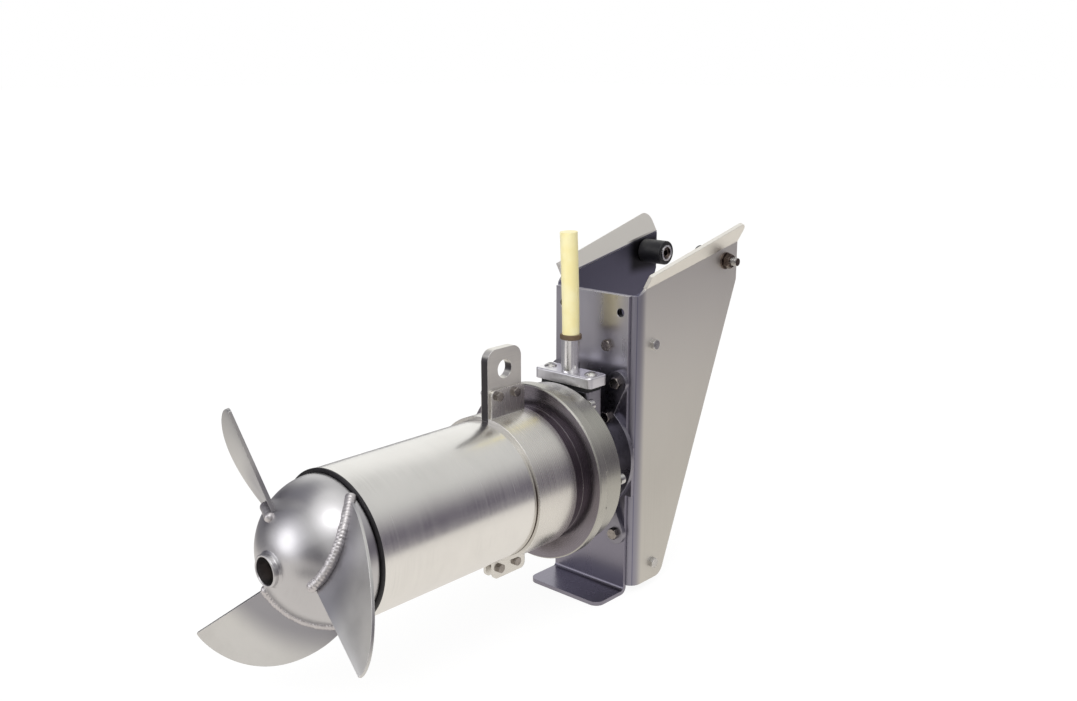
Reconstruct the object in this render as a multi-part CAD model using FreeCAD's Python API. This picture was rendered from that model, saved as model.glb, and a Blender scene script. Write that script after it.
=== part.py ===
"""Submersible mixer on a guide bracket.

Millimetres, +Z up.  The motor axis is the Y axis with the propeller towards -Y.
The origin lies on the motor axis where it crosses the axis of the guide mast.
Stations along the motor are counted from the front rim of the motor barrel.
"""
import FreeCAD, Part
import math
import os

V = FreeCAD.Vector

# Guide mast
MAST_SIDE = 100.0
MAST_PLAY = 0.5

# General clearances
RUN_FIT = 0.03
BOLT_PLAY = 0.05
PAST = 1.0

# Screw shanks
M6_R = 3.0
M8_R = 4.0
M10_R = 5.0

# Motor barrel
BARREL_R = 80.0
BARREL_WALL = 3.5
BARREL_LEN = 279.5
BARREL_IN = BARREL_R - BARREL_WALL

# Black ring between barrel and hub
FRONT_RING_T = 2.4
FRONT_RING_R = BARREL_R + 0.6
FRONT_RING_IN = BARREL_R - 20.0
FRONT_RING_LIP = 0.8

# Propeller hub
HUB_STEP = 3.6
HUB_GAP = 1.1
HUB_SKIRT = 0.5
HUB_R = BARREL_R - HUB_STEP
HUB_NOSE = 0.95 * HUB_R
HUB_REAR = -FRONT_RING_T - HUB_GAP
HUB_CENTRE = HUB_REAR - HUB_SKIRT
HUB_WALL = 5.0
HUB_BOSS_R = 22.0
HUB_BOSS_REAR = HUB_REAR - 4.5
NOSE_BORE_R = 14.0
NOSE_BOSS_R = NOSE_BORE_R + 2.6
NOSE_BOSS_LEN = 5.0
NOSE_BOSS_FLARE = 2.0
NOSE_DEPTH = 24.6
NOSE_SEAT = HUB_CENTRE - HUB_NOSE + NOSE_DEPTH
HUB_RIB_T = 6.0

# Blades, given from the tip: radius, angle past the tip, station
BLADE_COUNT = 3
BLADE_TIP_ANGLE = 100.9
BLADE_T = 4.5
BLADE_EDGE_T = 3.2
TIP_R = 156.9
TIP_STATION = -88.9
TIP_LEAN_R = TIP_R + 13.8
TIP_LEAN_ANGLE = 6.0
TIP_LEAN_STATION = -80.3
TRAIL_R = TIP_R + 3.2
TRAIL_ANGLE = 40.6
TRAIL_STATION = -62.8
ROOT_FRONT_ANGLE = 7.4
ROOT_FRONT_STATION = HUB_CENTRE - 0.798 * HUB_NOSE
ROOT_MID_ANGLE = 44.7
ROOT_MID_STATION = HUB_CENTRE - 0.489 * HUB_NOSE
ROOT_REAR_ANGLE = 77.0
ROOT_REAR_STATION = HUB_CENTRE - 0.041 * HUB_NOSE
WELD_R = 2.6
BLADE_REAR_GAP = 1.0

# Shaft, key and hub screw
SHAFT_HUB_R = 11.0
SHAFT_SEAL_R = SHAFT_HUB_R + 3.0
SHAFT_FRONT_BEARING_R = SHAFT_SEAL_R + 1.0
SHAFT_ROTOR_R = SHAFT_FRONT_BEARING_R + 3.0
SHAFT_REAR_BEARING_R = 12.5
SHAFT_FRONT = NOSE_SEAT + 1.0
SHAFT_REAR = BARREL_LEN + 7.5
KEY_W = 6.0
KEY_H = 6.0
KEY_FRONT = NOSE_SEAT + 6.0
KEY_REAR = HUB_BOSS_REAR - 6.0
HUB_WASHER_R = NOSE_BORE_R - 0.5
HUB_WASHER_T = 4.0
HUB_SCREW_R = M10_R
HUB_SCREW_HEAD_R = 8.0
HUB_SCREW_HEAD_H = 10.0
HUB_SCREW_LEN = 28.0

# Bearings: outer radius, width, place
FRONT_BEARING_R = 31.0
FRONT_BEARING_W = 16.0
FRONT_BEARING_STATION = 58.0
REAR_BEARING_R = 26.0
REAR_BEARING_W = 15.0
REAR_BEARING_STATION = BARREL_LEN - 9.5
RACE_SHARE = 0.27
BALL_SHARE = 0.3
FRONT_BALLS = 9
REAR_BALLS = 9

# Front cover and shaft seals
COVER_T = 14.0
SEAL_BORE_R = SHAFT_SEAL_R + 10.0
SEAL_FACE_R = SHAFT_SEAL_R + 7.0
BELLOWS_FRONT = HUB_BOSS_REAR + 1.5
BELLOWS_REAR = BELLOWS_FRONT + 7.5
SEAL_FACE_LEN = 6.0
SEAL_FILM = 0.02
LIP_SEAL_FRONT = FRONT_BEARING_STATION - 10.0
LIP_SEAL_REAR = FRONT_BEARING_STATION - 2.0

# Motor windings and rotor
STATOR_FRONT = 108.0
STATOR_REAR = BARREL_LEN - 61.5
STATOR_IN = 0.55 * BARREL_R
SLOT_COUNT = 24
SLOT_DEPTH = 14.0
SLOT_W = 5.0
AIR_GAP = 0.6
END_RING_LEN = 9.0
FIN_LEN = 7.0
FIN_T = 3.0
WINDING_LEN = 20.0
LEAD_CIRCLE = 0.7 * BARREL_R
LEAD_R = 2.0
LEAD_BEND = 4.0

# Rear flange, cover and seal ring
SPIGOT_FRONT = BARREL_LEN - 11.5
NECK_R = BARREL_R + 0.5
FLANGE_FRONT = BARREL_LEN + 13.0
FLANGE_R = BARREL_R + 26.5
FLANGE_T = 15.5
FLANGE_REAR = FLANGE_FRONT + FLANGE_T
FLANGE_EDGE = 1.5
REAR_COVER_R = FLANGE_R - 6.5
REAR_COVER_IN = BARREL_R
REAR_COVER_LEN = 31.7
REAR_COVER_REAR = FLANGE_REAR + REAR_COVER_LEN
REAR_COVER_END_T = 8.0
PRY_SLOT_H = 44.0
PRY_SLOT_W = 4.0
PRY_SLOT_DEPTH = 5.0
O_RING_R = BARREL_R + 4.5
O_RING_SECTION = 2.5
COVER_SCREWS = 6
COVER_SCREW_CIRCLE = FLANGE_R - 13.5
COVER_SCREW_GRIP = 10.0

# Connection housing with the neck for the cable
HOUSING_R = 50.0
HOUSING_WALL = 6.0
HOUSING_LEN = 55.0
HOUSING_REAR = REAR_COVER_REAR + HOUSING_LEN
HOUSING_LIP_R = HOUSING_R + 22.0
HOUSING_LIP_T = 6.0
HOUSING_SCREWS = 4
HOUSING_SCREW_CIRCLE = HOUSING_R + 14.0
LEAD_HOLE_R = HOUSING_R - 12.0
NECK_HALF_X = 38.0
NECK_FRONT = REAR_COVER_REAR + 8.3
NECK_REAR = NECK_FRONT + 30.0
NECK_TOP = HOUSING_R + 42.0
CABLE_STATION = (NECK_FRONT + NECK_REAR) / 2 - 0.5

# Terminal block
TERMINAL_FRONT = FLANGE_REAR + 4.0
TERMINAL_REAR = REAR_COVER_REAR - REAR_COVER_END_T
TERMINAL_BASE_T = 6.7
TERMINAL_HALF_X = LEAD_HOLE_R - 6.0
TERMINAL_HALF_Z = 18.0
POST_PITCH = 20.0
POST_R = 4.0
POST_Z = 6.0

# Mounting flange with four ears
MOUNT_FLANGE_R = HOUSING_R + 20.0
MOUNT_FLANGE_T = 6.0
MOUNT_FLANGE_REAR = HOUSING_REAR + MOUNT_FLANGE_T
EAR_X = 45.4
EAR_Z = 97.0
EAR_R = 14.0
INNER_BOLT_CIRCLE = HOUSING_R + 9.7
INNER_BOLT_ANGLE = 58.7
BOLT_SPARE = 10.0

# Cable entry
GASKET_T = 6.0
ENTRY_PLATE_HALF_X = NECK_HALF_X + 6.0
ENTRY_PLATE_FRONT = NECK_FRONT - 2.0
ENTRY_PLATE_REAR = NECK_REAR + 1.5
ENTRY_PLATE_T = 13.0
ENTRY_SCREW_X = NECK_HALF_X - 6.0
ENTRY_SCREW_HEAD_R = 8.0
ENTRY_SCREW_DOME = 4.0
CABLE_R = 10.5
GLAND_R = CABLE_R + 1.0
GLAND_TOP = NECK_TOP + 58.0
GLAND_SEAL_LEN = 22.0
COLLAR_R = GLAND_R + 1.6
COLLAR_T = 6.0
CABLE_LOW = NECK_TOP - 30.0
CABLE_KNEE = GLAND_TOP + 40.0
CABLE_TOP = GLAND_TOP + 129.0
CABLE_LEAN = 5.0
CABLE_BEND = 1500.0
CABLE_EDGE = 1.5
CONDUCTOR_R = 1.8
CONDUCTOR_PITCH = 5.0
CONDUCTOR_BEND = 5.0

# Lifting clamp
BAND_T = 4.3
BAND_R = BARREL_R + BAND_T
BAND_W = 61.1
BAND_REAR = BARREL_LEN - 2.6
BAND_FRONT = BAND_REAR - BAND_W
LUG_T = 10.0
LUG_FRONT = BAND_FRONT + 0.2
LUG_LEN = 54.0
LUG_REAR = LUG_FRONT + LUG_LEN
LUG_TOP = BARREL_R + 81.5
LUG_HOLE_R = 11.0
LUG_HOLE_Z = BARREL_R + 57.0
LUG_CORNER_R = 14.0
EAR_T = 3.5
EAR_TOP = BARREL_R + 36.0
EAR_DROP = 5.0
EAR_CORNER_R = 7.0
LOWER_GAP = 9.0
CLAMP_BOLT_FRONT = BAND_FRONT + 13.2
CLAMP_BOLT_REAR = CLAMP_BOLT_FRONT + 27.5
CLAMP_BOLT_UP = BARREL_R + 28.0
CLAMP_BOLT_DOWN = -BARREL_R - 19.0

# L-shaped mounting plate
PLATE_T = 5.0
PLATE_HALF_X = 56.9
PLATE_TOP = 202.7
PLATE_FOOT_Z = -177.5
FOOT_FRONT = MOUNT_FLANGE_REAR - 51.5
FOOT_CORNER_R = 12.0
FOOT_BEND_R = 9.0
TAB_TOP = 16.5
TAB_LOW = -46.0
FIXING_HOLE_X = 45.0
FIXING_HOLE_Z = 182.0
FIXING_HOLE_R = 5.5
PLATE_SCREW_X = 26.5
PLATE_SCREW_Z = 139.6

# Guide channel
CHANNEL_HALF = MAST_SIDE / 2 + 17.0
CHANNEL_T = 4.5
CHANNEL_BEND = 15.0
CHANNEL_LOW = PLATE_FOOT_Z + 9.5
CHANNEL_FRONT = MOUNT_FLANGE_REAR + PLATE_T
TAB_X = CHANNEL_HALF - 1.0
BACK_STATION = MOUNT_FLANGE_REAR + 214.3
BACK_KNEE_Z = 197.0
BACK_LOW_STATION = MOUNT_FLANGE_REAR + 63.3
FOLD_FRONT_STATION = MOUNT_FLANGE_REAR + 20.3
FOLD_FRONT_Z = PLATE_TOP + 7.3
FOLD_REAR_Z = PLATE_TOP + 43.9
LOW_CORNER_R = 16.0
FLARE_REAR_X = 15.0
FLARE_REAR_Z = 27.0
FLARE_FRONT_X = 9.0
FLARE_FRONT_Z = 15.0
FLARE_CORNER_R = 12.0

# The mast stands between the top rollers and the lower roller
RIM_TO_MAST = MOUNT_FLANGE_REAR + 120.8
TOP_ROLLER_R = 16.0
TOP_ROLLER_STATION = RIM_TO_MAST + MAST_SIDE / 2 + MAST_PLAY + TOP_ROLLER_R
TOP_ROLLER_Z = 224.5
TOP_ROLLER_INNER_X = 25.0
BUSH_R = 10.5
M10_HEAD_R = 8.0
M10_HEAD_H = 10.0
M10_FLATS = 17.0
LOW_ROLLER_R = 25.0
LOW_ROLLER_STATION = RIM_TO_MAST - MAST_SIDE / 2 - MAST_PLAY - LOW_ROLLER_R
LOW_ROLLER_Z = -146.0
SIDE_PLAY = 0.8
TIE_STATION = MOUNT_FLANGE_REAR + 37.6
TIE_Z = 140.3
SPACER_R = 9.0
ROLLER_SPARE = 19.0


def yy(station):
    return station - RIM_TO_MAST


def cyl_y(radius, s0, s1, x=0.0, z=0.0):
    return Part.makeCylinder(radius, s1 - s0, V(x, yy(s0), z), V(0, 1, 0))


def cyl_x(radius, x0, x1, station, z):
    return Part.makeCylinder(radius, x1 - x0, V(x0, yy(station), z), V(1, 0, 0))


def cyl_z(radius, z0, z1, x, station):
    return Part.makeCylinder(radius, z1 - z0, V(x, yy(station), z0), V(0, 0, 1))


def tube_y(r_out, r_in, s0, s1):
    return cyl_y(r_out, s0, s1).cut(cyl_y(r_in, s0 - 1, s1 + 1))


def tube_x(r_out, r_in, x0, x1, station, z):
    return cyl_x(r_out, x0, x1, station, z).cut(cyl_x(r_in, x0 - 1, x1 + 1, station, z))


def block(x0, x1, s0, s1, z0, z1):
    return Part.makeBox(x1 - x0, s1 - s0, z1 - z0, V(x0, yy(s0), z0))


def turned(points):
    """Solid of revolution about the motor axis from (radius, station) corners."""
    corners = [V(r, yy(s), 0) for r, s in points]
    corners.append(corners[0])
    face = Part.Face(Part.makePolygon(corners))
    return face.revolve(V(0, 0, 0), V(0, 1, 0), 360)


def around(shape, count, start=0.0):
    """Copies of a shape evenly round the motor axis."""
    copies = []
    for i in range(count):
        copy = shape.copy()
        copy.rotate(V(0, 0, 0), V(0, -1, 0), start + i * 360.0 / count)
        copies.append(copy)
    return copies


def mirrored(shape):
    return shape.mirror(V(0, 0, 0), V(1, 0, 0))


def polar(radius, angle, station):
    a = math.radians(angle)
    return V(radius * math.cos(a), yy(station), radius * math.sin(a))


def hexagon(flats, height, base, axis, turn=0.0):
    """Hexagonal prism with chamfered outer corners, axis pointing away from the seat."""
    corner = flats / math.sqrt(3.0)
    points = []
    for i in range(7):
        a = math.radians(60.0 * i + turn)
        points.append(V(corner * math.cos(a), corner * math.sin(a), 0))
    prism = Part.Face(Part.makePolygon(points)).extrude(V(0, 0, height))
    cone_r = flats * 0.5 * 0.97 + height
    cone = Part.makeCone(cone_r, cone_r - height, height)
    head = prism.common(cone)
    head.Placement = FreeCAD.Placement(base, FreeCAD.Rotation(V(0, 0, 1), axis))
    return head


def hex_bolt(radius, flats, head_h, length, base, axis, turn=0.0):
    """Hex bolt: the head stands on base along axis, the shank goes the other way."""
    head = hexagon(flats, head_h, base, axis, turn)
    back = V(axis).multiply(-1.0)
    shank = Part.makeCylinder(radius, length + 0.5, base + V(axis).multiply(0.5), back)
    return head.fuse(shank).removeSplitter()


def nut(radius, flats, height, base, axis, turn=0.0):
    body = hexagon(flats, height, base, axis, turn)
    hole = Part.makeCylinder(radius, height + 2.0, base - V(axis), axis)
    return body.cut(hole)


def washer(r_out, r_in, thick, base, axis):
    disc = Part.makeCylinder(r_out, thick, base, axis)
    hole = Part.makeCylinder(r_in, thick + 2.0, base - V(axis), axis)
    return disc.cut(hole)


def cap_screw(radius, head_r, head_h, length, base, axis, socket):
    """Socket head cap screw, seated on base with its head along axis."""
    head = Part.makeCylinder(head_r, head_h, base, axis)
    rim = [e for e in head.Edges if abs(e.Length - 2 * math.pi * head_r) < 0.01]
    tops = [e for e in rim if (e.CenterOfMass - base).dot(axis) > 0.5 * head_h]
    head = head.makeChamfer(0.08 * head_r + 0.3, tops)
    back = V(axis).multiply(-1.0)
    shank = Part.makeCylinder(radius, length + 0.5, base + V(axis).multiply(0.5), back)
    top = base + V(axis).multiply(head_h)
    drive = hexagon(socket, 0.6 * head_h + 1.0, top - V(axis).multiply(0.6 * head_h), axis)
    return head.cut(drive).fuse(shank).removeSplitter()


def group(shapes):
    solids = []
    for shape in shapes:
        solids.extend(shape.Solids)
    return Part.makeCompound(solids)


def save(name, shape):
    shape.exportStep("parts/%s.step" % name)


# Propeller

def hub_curve(radius, nose, r0, r1):
    """Quarter-ellipse generating line of the domed hub between two radii, with its ends."""
    a0 = -math.acos(min(1.0, r0 / radius))
    a1 = -math.acos(min(1.0, r1 / radius))
    ellipse = Part.Ellipse(V(0, yy(HUB_CENTRE), 0), radius, nose)
    arc = Part.ArcOfEllipse(ellipse, min(a0, a1), max(a0, a1)).toShape()
    ends = [V(radius * math.cos(a), yy(HUB_CENTRE) + nose * math.sin(a), 0) for a in (a0, a1)]
    return arc, ends


def hub_envelope(inset=0.0):
    """Outside of the hub as a full solid, or a surface inset into its wall."""
    radius = HUB_R - inset
    arc, ends = hub_curve(radius, HUB_NOSE - inset, radius, 0.0)
    axis_rear = V(0, yy(HUB_REAR), 0)
    rim = V(radius, yy(HUB_REAR), 0)
    lines = [Part.makeLine(axis_rear, rim), Part.makeLine(rim, ends[0])]
    face = Part.Face(Part.Wire(lines + [arc, Part.makeLine(ends[1], axis_rear)]))
    return face.revolve(V(0, 0, 0), V(0, 1, 0), 360)


def hub_station(radius, wall=0.0):
    share = radius / (HUB_R - wall)
    return HUB_CENTRE - (HUB_NOSE - wall) * math.sqrt(1.0 - share * share)


def propeller_hub():
    inner_r = HUB_R - HUB_WALL
    collar_r = NOSE_BOSS_R + NOSE_BOSS_FLARE
    outer, op = hub_curve(HUB_R, HUB_NOSE, HUB_R, collar_r)
    inner, ip = hub_curve(inner_r, HUB_NOSE - HUB_WALL, HUB_BOSS_R, inner_r)
    bore = SHAFT_HUB_R + RUN_FIT
    boss_front = HUB_CENTRE - HUB_NOSE - NOSE_BOSS_LEN
    chain = [
        V(bore, yy(HUB_BOSS_REAR), 0),
        V(HUB_BOSS_R, yy(HUB_BOSS_REAR), 0),
        ip[0],
    ]
    edges = [Part.makeLine(chain[0], chain[1]), Part.makeLine(chain[1], chain[2]), inner]
    chain = [
        ip[-1],
        V(inner_r, yy(HUB_REAR), 0),
        V(HUB_R, yy(HUB_REAR), 0),
        op[0],
    ]
    edges += [Part.makeLine(a, b) for a, b in zip(chain, chain[1:])]
    edges.append(outer)
    chain = [
        op[-1],
        V(NOSE_BOSS_R, yy(hub_station(collar_r) - NOSE_BOSS_FLARE), 0),
        V(NOSE_BOSS_R, yy(boss_front + 0.8), 0),
        V(NOSE_BOSS_R - 0.8, yy(boss_front), 0),
        V(NOSE_BORE_R + 0.6, yy(boss_front), 0),
        V(NOSE_BORE_R, yy(boss_front + 0.6), 0),
        V(NOSE_BORE_R, yy(NOSE_SEAT), 0),
        V(bore, yy(NOSE_SEAT), 0),
        V(bore, yy(HUB_BOSS_REAR), 0),
    ]
    edges += [Part.makeLine(a, b) for a, b in zip(chain, chain[1:])]
    hub = Part.Face(Part.Wire(edges)).revolve(V(0, 0, 0), V(0, 1, 0), 360)
    rib_rear = HUB_BOSS_REAR - HUB_BOSS_R / 2
    rib = block(HUB_BOSS_R - 2, HUB_R, -HUB_NOSE, rib_rear, -HUB_RIB_T / 2, HUB_RIB_T / 2)
    inside = hub_envelope(HUB_WALL / 2)
    hub = hub.fuse([r.common(inside) for r in around(rib, BLADE_COUNT, BLADE_TIP_ANGLE + 45)])
    slot = block(-KEY_W / 2 - RUN_FIT, KEY_W / 2 + RUN_FIT, NOSE_SEAT - 1, HUB_BOSS_REAR + 1,
                 0, SHAFT_HUB_R + KEY_H / 2 - 0.4)
    bore_keep = cyl_y(NOSE_BORE_R, NOSE_SEAT - 2, NOSE_SEAT)
    return hub.cut(slot.cut(bore_keep)).removeSplitter()


def bezier(points, t):
    """Point on a cubic curve with four control points."""
    u = 1.0 - t
    weights = (u * u * u, 3 * u * u * t, 3 * u * t * t, t * t * t)
    result = V(0, 0, 0)
    for point, weight in zip(points, weights):
        result = result + V(point).multiply(weight)
    return result


def root_point(t):
    """Blade root on the hub surface, from its front end to its rear end."""
    first = (1 - t) * (1 - 2 * t)
    middle = 4 * t * (1 - t)
    last = t * (2 * t - 1)
    angle = ROOT_FRONT_ANGLE * first + ROOT_MID_ANGLE * middle + ROOT_REAR_ANGLE * last
    station = ROOT_FRONT_STATION * first + ROOT_MID_STATION * middle + ROOT_REAR_STATION * last
    reach = min(1.0, abs(station - HUB_CENTRE) / HUB_NOSE)
    return polar(HUB_R * math.sqrt(1.0 - reach * reach), angle, station)


def blade(turn):
    outline = [
        polar(TIP_R, 0.0, TIP_STATION),
        polar(TIP_LEAN_R, TIP_LEAN_ANGLE, TIP_LEAN_STATION),
        polar(TRAIL_R, TRAIL_ANGLE, TRAIL_STATION),
        root_point(1.0),
    ]
    centre = V(0, yy(HUB_CENTRE), 0)
    sections = []
    count = 11
    for i in range(count):
        t = i / (count - 1.0)
        root = root_point(t)
        start = centre + (root - centre).multiply(0.86)
        end = bezier(outline, t)
        ahead = bezier(outline, min(1.0, t + 0.03)) + root_point(min(1.0, t + 0.03))
        behind = bezier(outline, max(0.0, t - 0.03)) + root_point(max(0.0, t - 0.03))
        normal = (ahead - behind).cross(end - start)
        normal.normalize()
        n0 = V(normal).multiply(BLADE_T / 2)
        n1 = V(normal).multiply(BLADE_EDGE_T / 2)
        corners = [start - n0, end - n1, end + n1, start + n0]
        sections.append(Part.makePolygon(corners + [corners[0]]))
    plate = Part.makeLoft(sections, True, False)
    seam = Part.BSplineCurve()
    seam.interpolate([root_point(i / 8.0) for i in range(9)])
    path = Part.Wire([seam.toShape()])
    tangent = root_point(0.05) - root_point(0.0)
    ring = Part.Wire([Part.makeCircle(WELD_R + BLADE_T / 2, root_point(0.0), tangent)])
    weld = Part.Wire(path).makePipeShell([ring], True, True)
    behind = cyl_y(2 * TRAIL_R, HUB_REAR - BLADE_REAR_GAP, 20)
    body = plate.fuse(weld).cut(hub_envelope()).cut(behind)
    body = max(body.Solids, key=lambda s: s.Volume)
    body.rotate(V(0, 0, 0), V(0, -1, 0), turn)
    return body


def hub_washer():
    base = V(0, yy(NOSE_SEAT), 0)
    return washer(HUB_WASHER_R, HUB_SCREW_R + BOLT_PLAY, HUB_WASHER_T, base, V(0, -1, 0))


def hub_screw():
    base = V(0, yy(NOSE_SEAT - HUB_WASHER_T), 0)
    return cap_screw(HUB_SCREW_R, HUB_SCREW_HEAD_R, HUB_SCREW_HEAD_H, HUB_SCREW_LEN, base,
                     V(0, -1, 0), 8.0)


def motor_shaft():
    shaft = turned([
        (0, SHAFT_FRONT), (SHAFT_HUB_R - 1, SHAFT_FRONT), (SHAFT_HUB_R, SHAFT_FRONT + 1),
        (SHAFT_HUB_R, HUB_BOSS_REAR), (SHAFT_SEAL_R, HUB_BOSS_REAR),
        (SHAFT_SEAL_R, FRONT_BEARING_STATION), (SHAFT_FRONT_BEARING_R, FRONT_BEARING_STATION),
        (SHAFT_FRONT_BEARING_R, FRONT_BEARING_STATION + FRONT_BEARING_W),
        (SHAFT_ROTOR_R, FRONT_BEARING_STATION + FRONT_BEARING_W),
        (SHAFT_ROTOR_R, REAR_BEARING_STATION - 12), (SHAFT_FRONT_BEARING_R, REAR_BEARING_STATION - 12),
        (SHAFT_FRONT_BEARING_R, REAR_BEARING_STATION), (SHAFT_REAR_BEARING_R, REAR_BEARING_STATION),
        (SHAFT_REAR_BEARING_R, SHAFT_REAR - 1), (SHAFT_REAR_BEARING_R - 1, SHAFT_REAR),
        (0, SHAFT_REAR),
    ])
    tap = cyl_y(HUB_SCREW_R + BOLT_PLAY, SHAFT_FRONT - 1, NOSE_SEAT + HUB_SCREW_LEN + 2)
    key_floor = SHAFT_HUB_R + KEY_H / 2 - 0.4 - KEY_H
    seat = block(-KEY_W / 2, KEY_W / 2, KEY_FRONT, KEY_REAR, key_floor, SHAFT_HUB_R + 2)
    return shaft.cut(tap).cut(seat)


def shaft_key():
    top = SHAFT_HUB_R + KEY_H / 2 - 0.4
    return block(-KEY_W / 2, KEY_W / 2, KEY_FRONT, KEY_REAR, top - KEY_H, top - RUN_FIT)


# Seals, covers and bearings

def seal_bellows():
    inner = SHAFT_SEAL_R
    length = BELLOWS_REAR - BELLOWS_FRONT
    outer_line = []
    folds = 3
    for i in range(folds):
        s = BELLOWS_FRONT + length * i / folds
        outer_line.append((SEAL_FACE_R - 3.0, s))
        outer_line.append((SEAL_FACE_R, s + length / folds / 2))
    outer_line.append((SEAL_FACE_R - 3.0, BELLOWS_REAR))
    return turned([(inner, BELLOWS_FRONT)] + outer_line + [(inner, BELLOWS_REAR)])


def seal_rotating_face():
    s1 = BELLOWS_REAR + SEAL_FACE_LEN - SEAL_FILM
    inner = SHAFT_SEAL_R + RUN_FIT
    return turned([
        (inner, BELLOWS_REAR), (SEAL_FACE_R, BELLOWS_REAR), (SEAL_FACE_R, s1 - 2),
        (SEAL_FACE_R - 2, s1), (inner, s1),
    ])


def seal_fixed_face():
    s0 = BELLOWS_REAR + SEAL_FACE_LEN
    return turned([
        (SHAFT_SEAL_R + 0.8, s0), (SEAL_FACE_R - 2, s0), (SEAL_BORE_R, s0 + 1),
        (SEAL_BORE_R, COVER_T), (SHAFT_SEAL_R + 0.8, COVER_T),
    ])


def front_cover():
    return turned([
        (SEAL_BORE_R, 3), (SEAL_BORE_R + 6, 0), (BARREL_IN, 0), (BARREL_IN, COVER_T),
        (SHAFT_SEAL_R + 2, COVER_T + 4), (SHAFT_SEAL_R + 2, COVER_T), (SEAL_BORE_R, COVER_T),
    ])


def front_ring():
    lip = FRONT_RING_LIP
    return turned([
        (FRONT_RING_IN, 0), (FRONT_RING_IN, -FRONT_RING_T + lip), (FRONT_RING_IN + 4, -FRONT_RING_T),
        (FRONT_RING_R - lip, -FRONT_RING_T), (FRONT_RING_R, -FRONT_RING_T + lip), (FRONT_RING_R, 0),
    ])


def bearing_carrier():
    """Spoked-looking ring: bearing seat, web and rim against the barrel."""
    front = FRONT_BEARING_STATION
    rear = front + FRONT_BEARING_W
    seat_r = FRONT_BEARING_R + 7
    rim_r = BARREL_IN - 6.5
    return turned([
        (SEAL_BORE_R, LIP_SEAL_FRONT - 2), (seat_r, LIP_SEAL_FRONT - 2), (seat_r + 4, front - 2),
        (rim_r, front - 2), (rim_r, front - 8), (BARREL_IN, front - 8), (BARREL_IN, front + 14),
        (rim_r, front + 14), (rim_r, front + 8), (seat_r + 4, front + 8), (seat_r, rear + 2),
        (FRONT_BEARING_R, rear + 2), (FRONT_BEARING_R, front), (FRONT_BEARING_R - 5, front),
        (FRONT_BEARING_R - 5, LIP_SEAL_REAR), (SEAL_BORE_R, LIP_SEAL_REAR),
    ])


def lip_seal():
    inner = SHAFT_SEAL_R + RUN_FIT
    return turned([
        (inner, LIP_SEAL_FRONT + 2), (inner + 2, LIP_SEAL_FRONT), (SEAL_BORE_R, LIP_SEAL_FRONT),
        (SEAL_BORE_R, LIP_SEAL_REAR), (inner + 4, LIP_SEAL_REAR), (inner + 4, LIP_SEAL_FRONT + 4),
        (inner, LIP_SEAL_FRONT + 4),
    ])


def bearing_parts(shaft_r, outer_r, width, station, balls):
    """Inner race, outer race and the ring of balls of a deep-groove ball bearing."""
    wall = (outer_r - shaft_r) * RACE_SHARE
    middle = (outer_r + shaft_r) / 2
    ball_r = (outer_r - shaft_r) * BALL_SHARE
    centre = station + width / 2
    groove = Part.makeTorus(middle, ball_r + RUN_FIT, V(0, yy(centre), 0), V(0, 1, 0))
    inner = tube_y(shaft_r + wall, shaft_r, station, station + width).cut(groove)
    outer = tube_y(outer_r, outer_r - wall, station, station + width).cut(groove)
    ball = Part.makeSphere(ball_r, V(middle, yy(centre), 0))
    return inner, outer, group(around(ball, balls, 15.0))


# Motor

def stator_core():
    core = tube_y(BARREL_IN, STATOR_IN, STATOR_FRONT, STATOR_REAR)
    slot = block(STATOR_IN - 2, STATOR_IN + SLOT_DEPTH, STATOR_FRONT - 1, STATOR_REAR + 1,
                 -SLOT_W / 2, SLOT_W / 2)
    return core.cut(around(slot, SLOT_COUNT))


def winding_end(s0, s1):
    cut = 4.0
    r0 = STATOR_IN + 3
    r1 = BARREL_IN - 6
    return turned([
        (r0, s0 + cut), (r0 + cut, s0), (r1 - cut, s0), (r1, s0 + cut), (r1, s1 - cut),
        (r1 - cut, s1), (r0 + cut, s1), (r0, s1 - cut),
    ])


def stator_windings():
    front = winding_end(STATOR_FRONT - WINDING_LEN, STATOR_FRONT)
    rear = winding_end(STATOR_REAR, STATOR_REAR + WINDING_LEN)
    return group([front, rear])


def rotor_core():
    """Laminated core with its cast cage: end rings with small fan blades."""
    core = tube_y(STATOR_IN - AIR_GAP, SHAFT_ROTOR_R, STATOR_FRONT, STATOR_REAR)
    for s0, side in ((STATOR_FRONT - END_RING_LEN, -1), (STATOR_REAR, 1)):
        ring = tube_y(STATOR_IN - 3, STATOR_IN - 16, s0, s0 + END_RING_LEN)
        start = s0 - FIN_LEN if side < 0 else s0 + END_RING_LEN
        fin = block(STATOR_IN - 14, STATOR_IN - 5, start, start + FIN_LEN, -FIN_T / 2, FIN_T / 2)
        core = core.fuse([ring] + around(fin, 6))
    return core.removeSplitter()


def lead_places():
    """Places of the three stator leads round the motor axis."""
    angles = [math.radians(30.0 + 120.0 * i) for i in range(3)]
    return [(LEAD_CIRCLE * math.cos(a), LEAD_CIRCLE * math.sin(a)) for a in angles]


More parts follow.
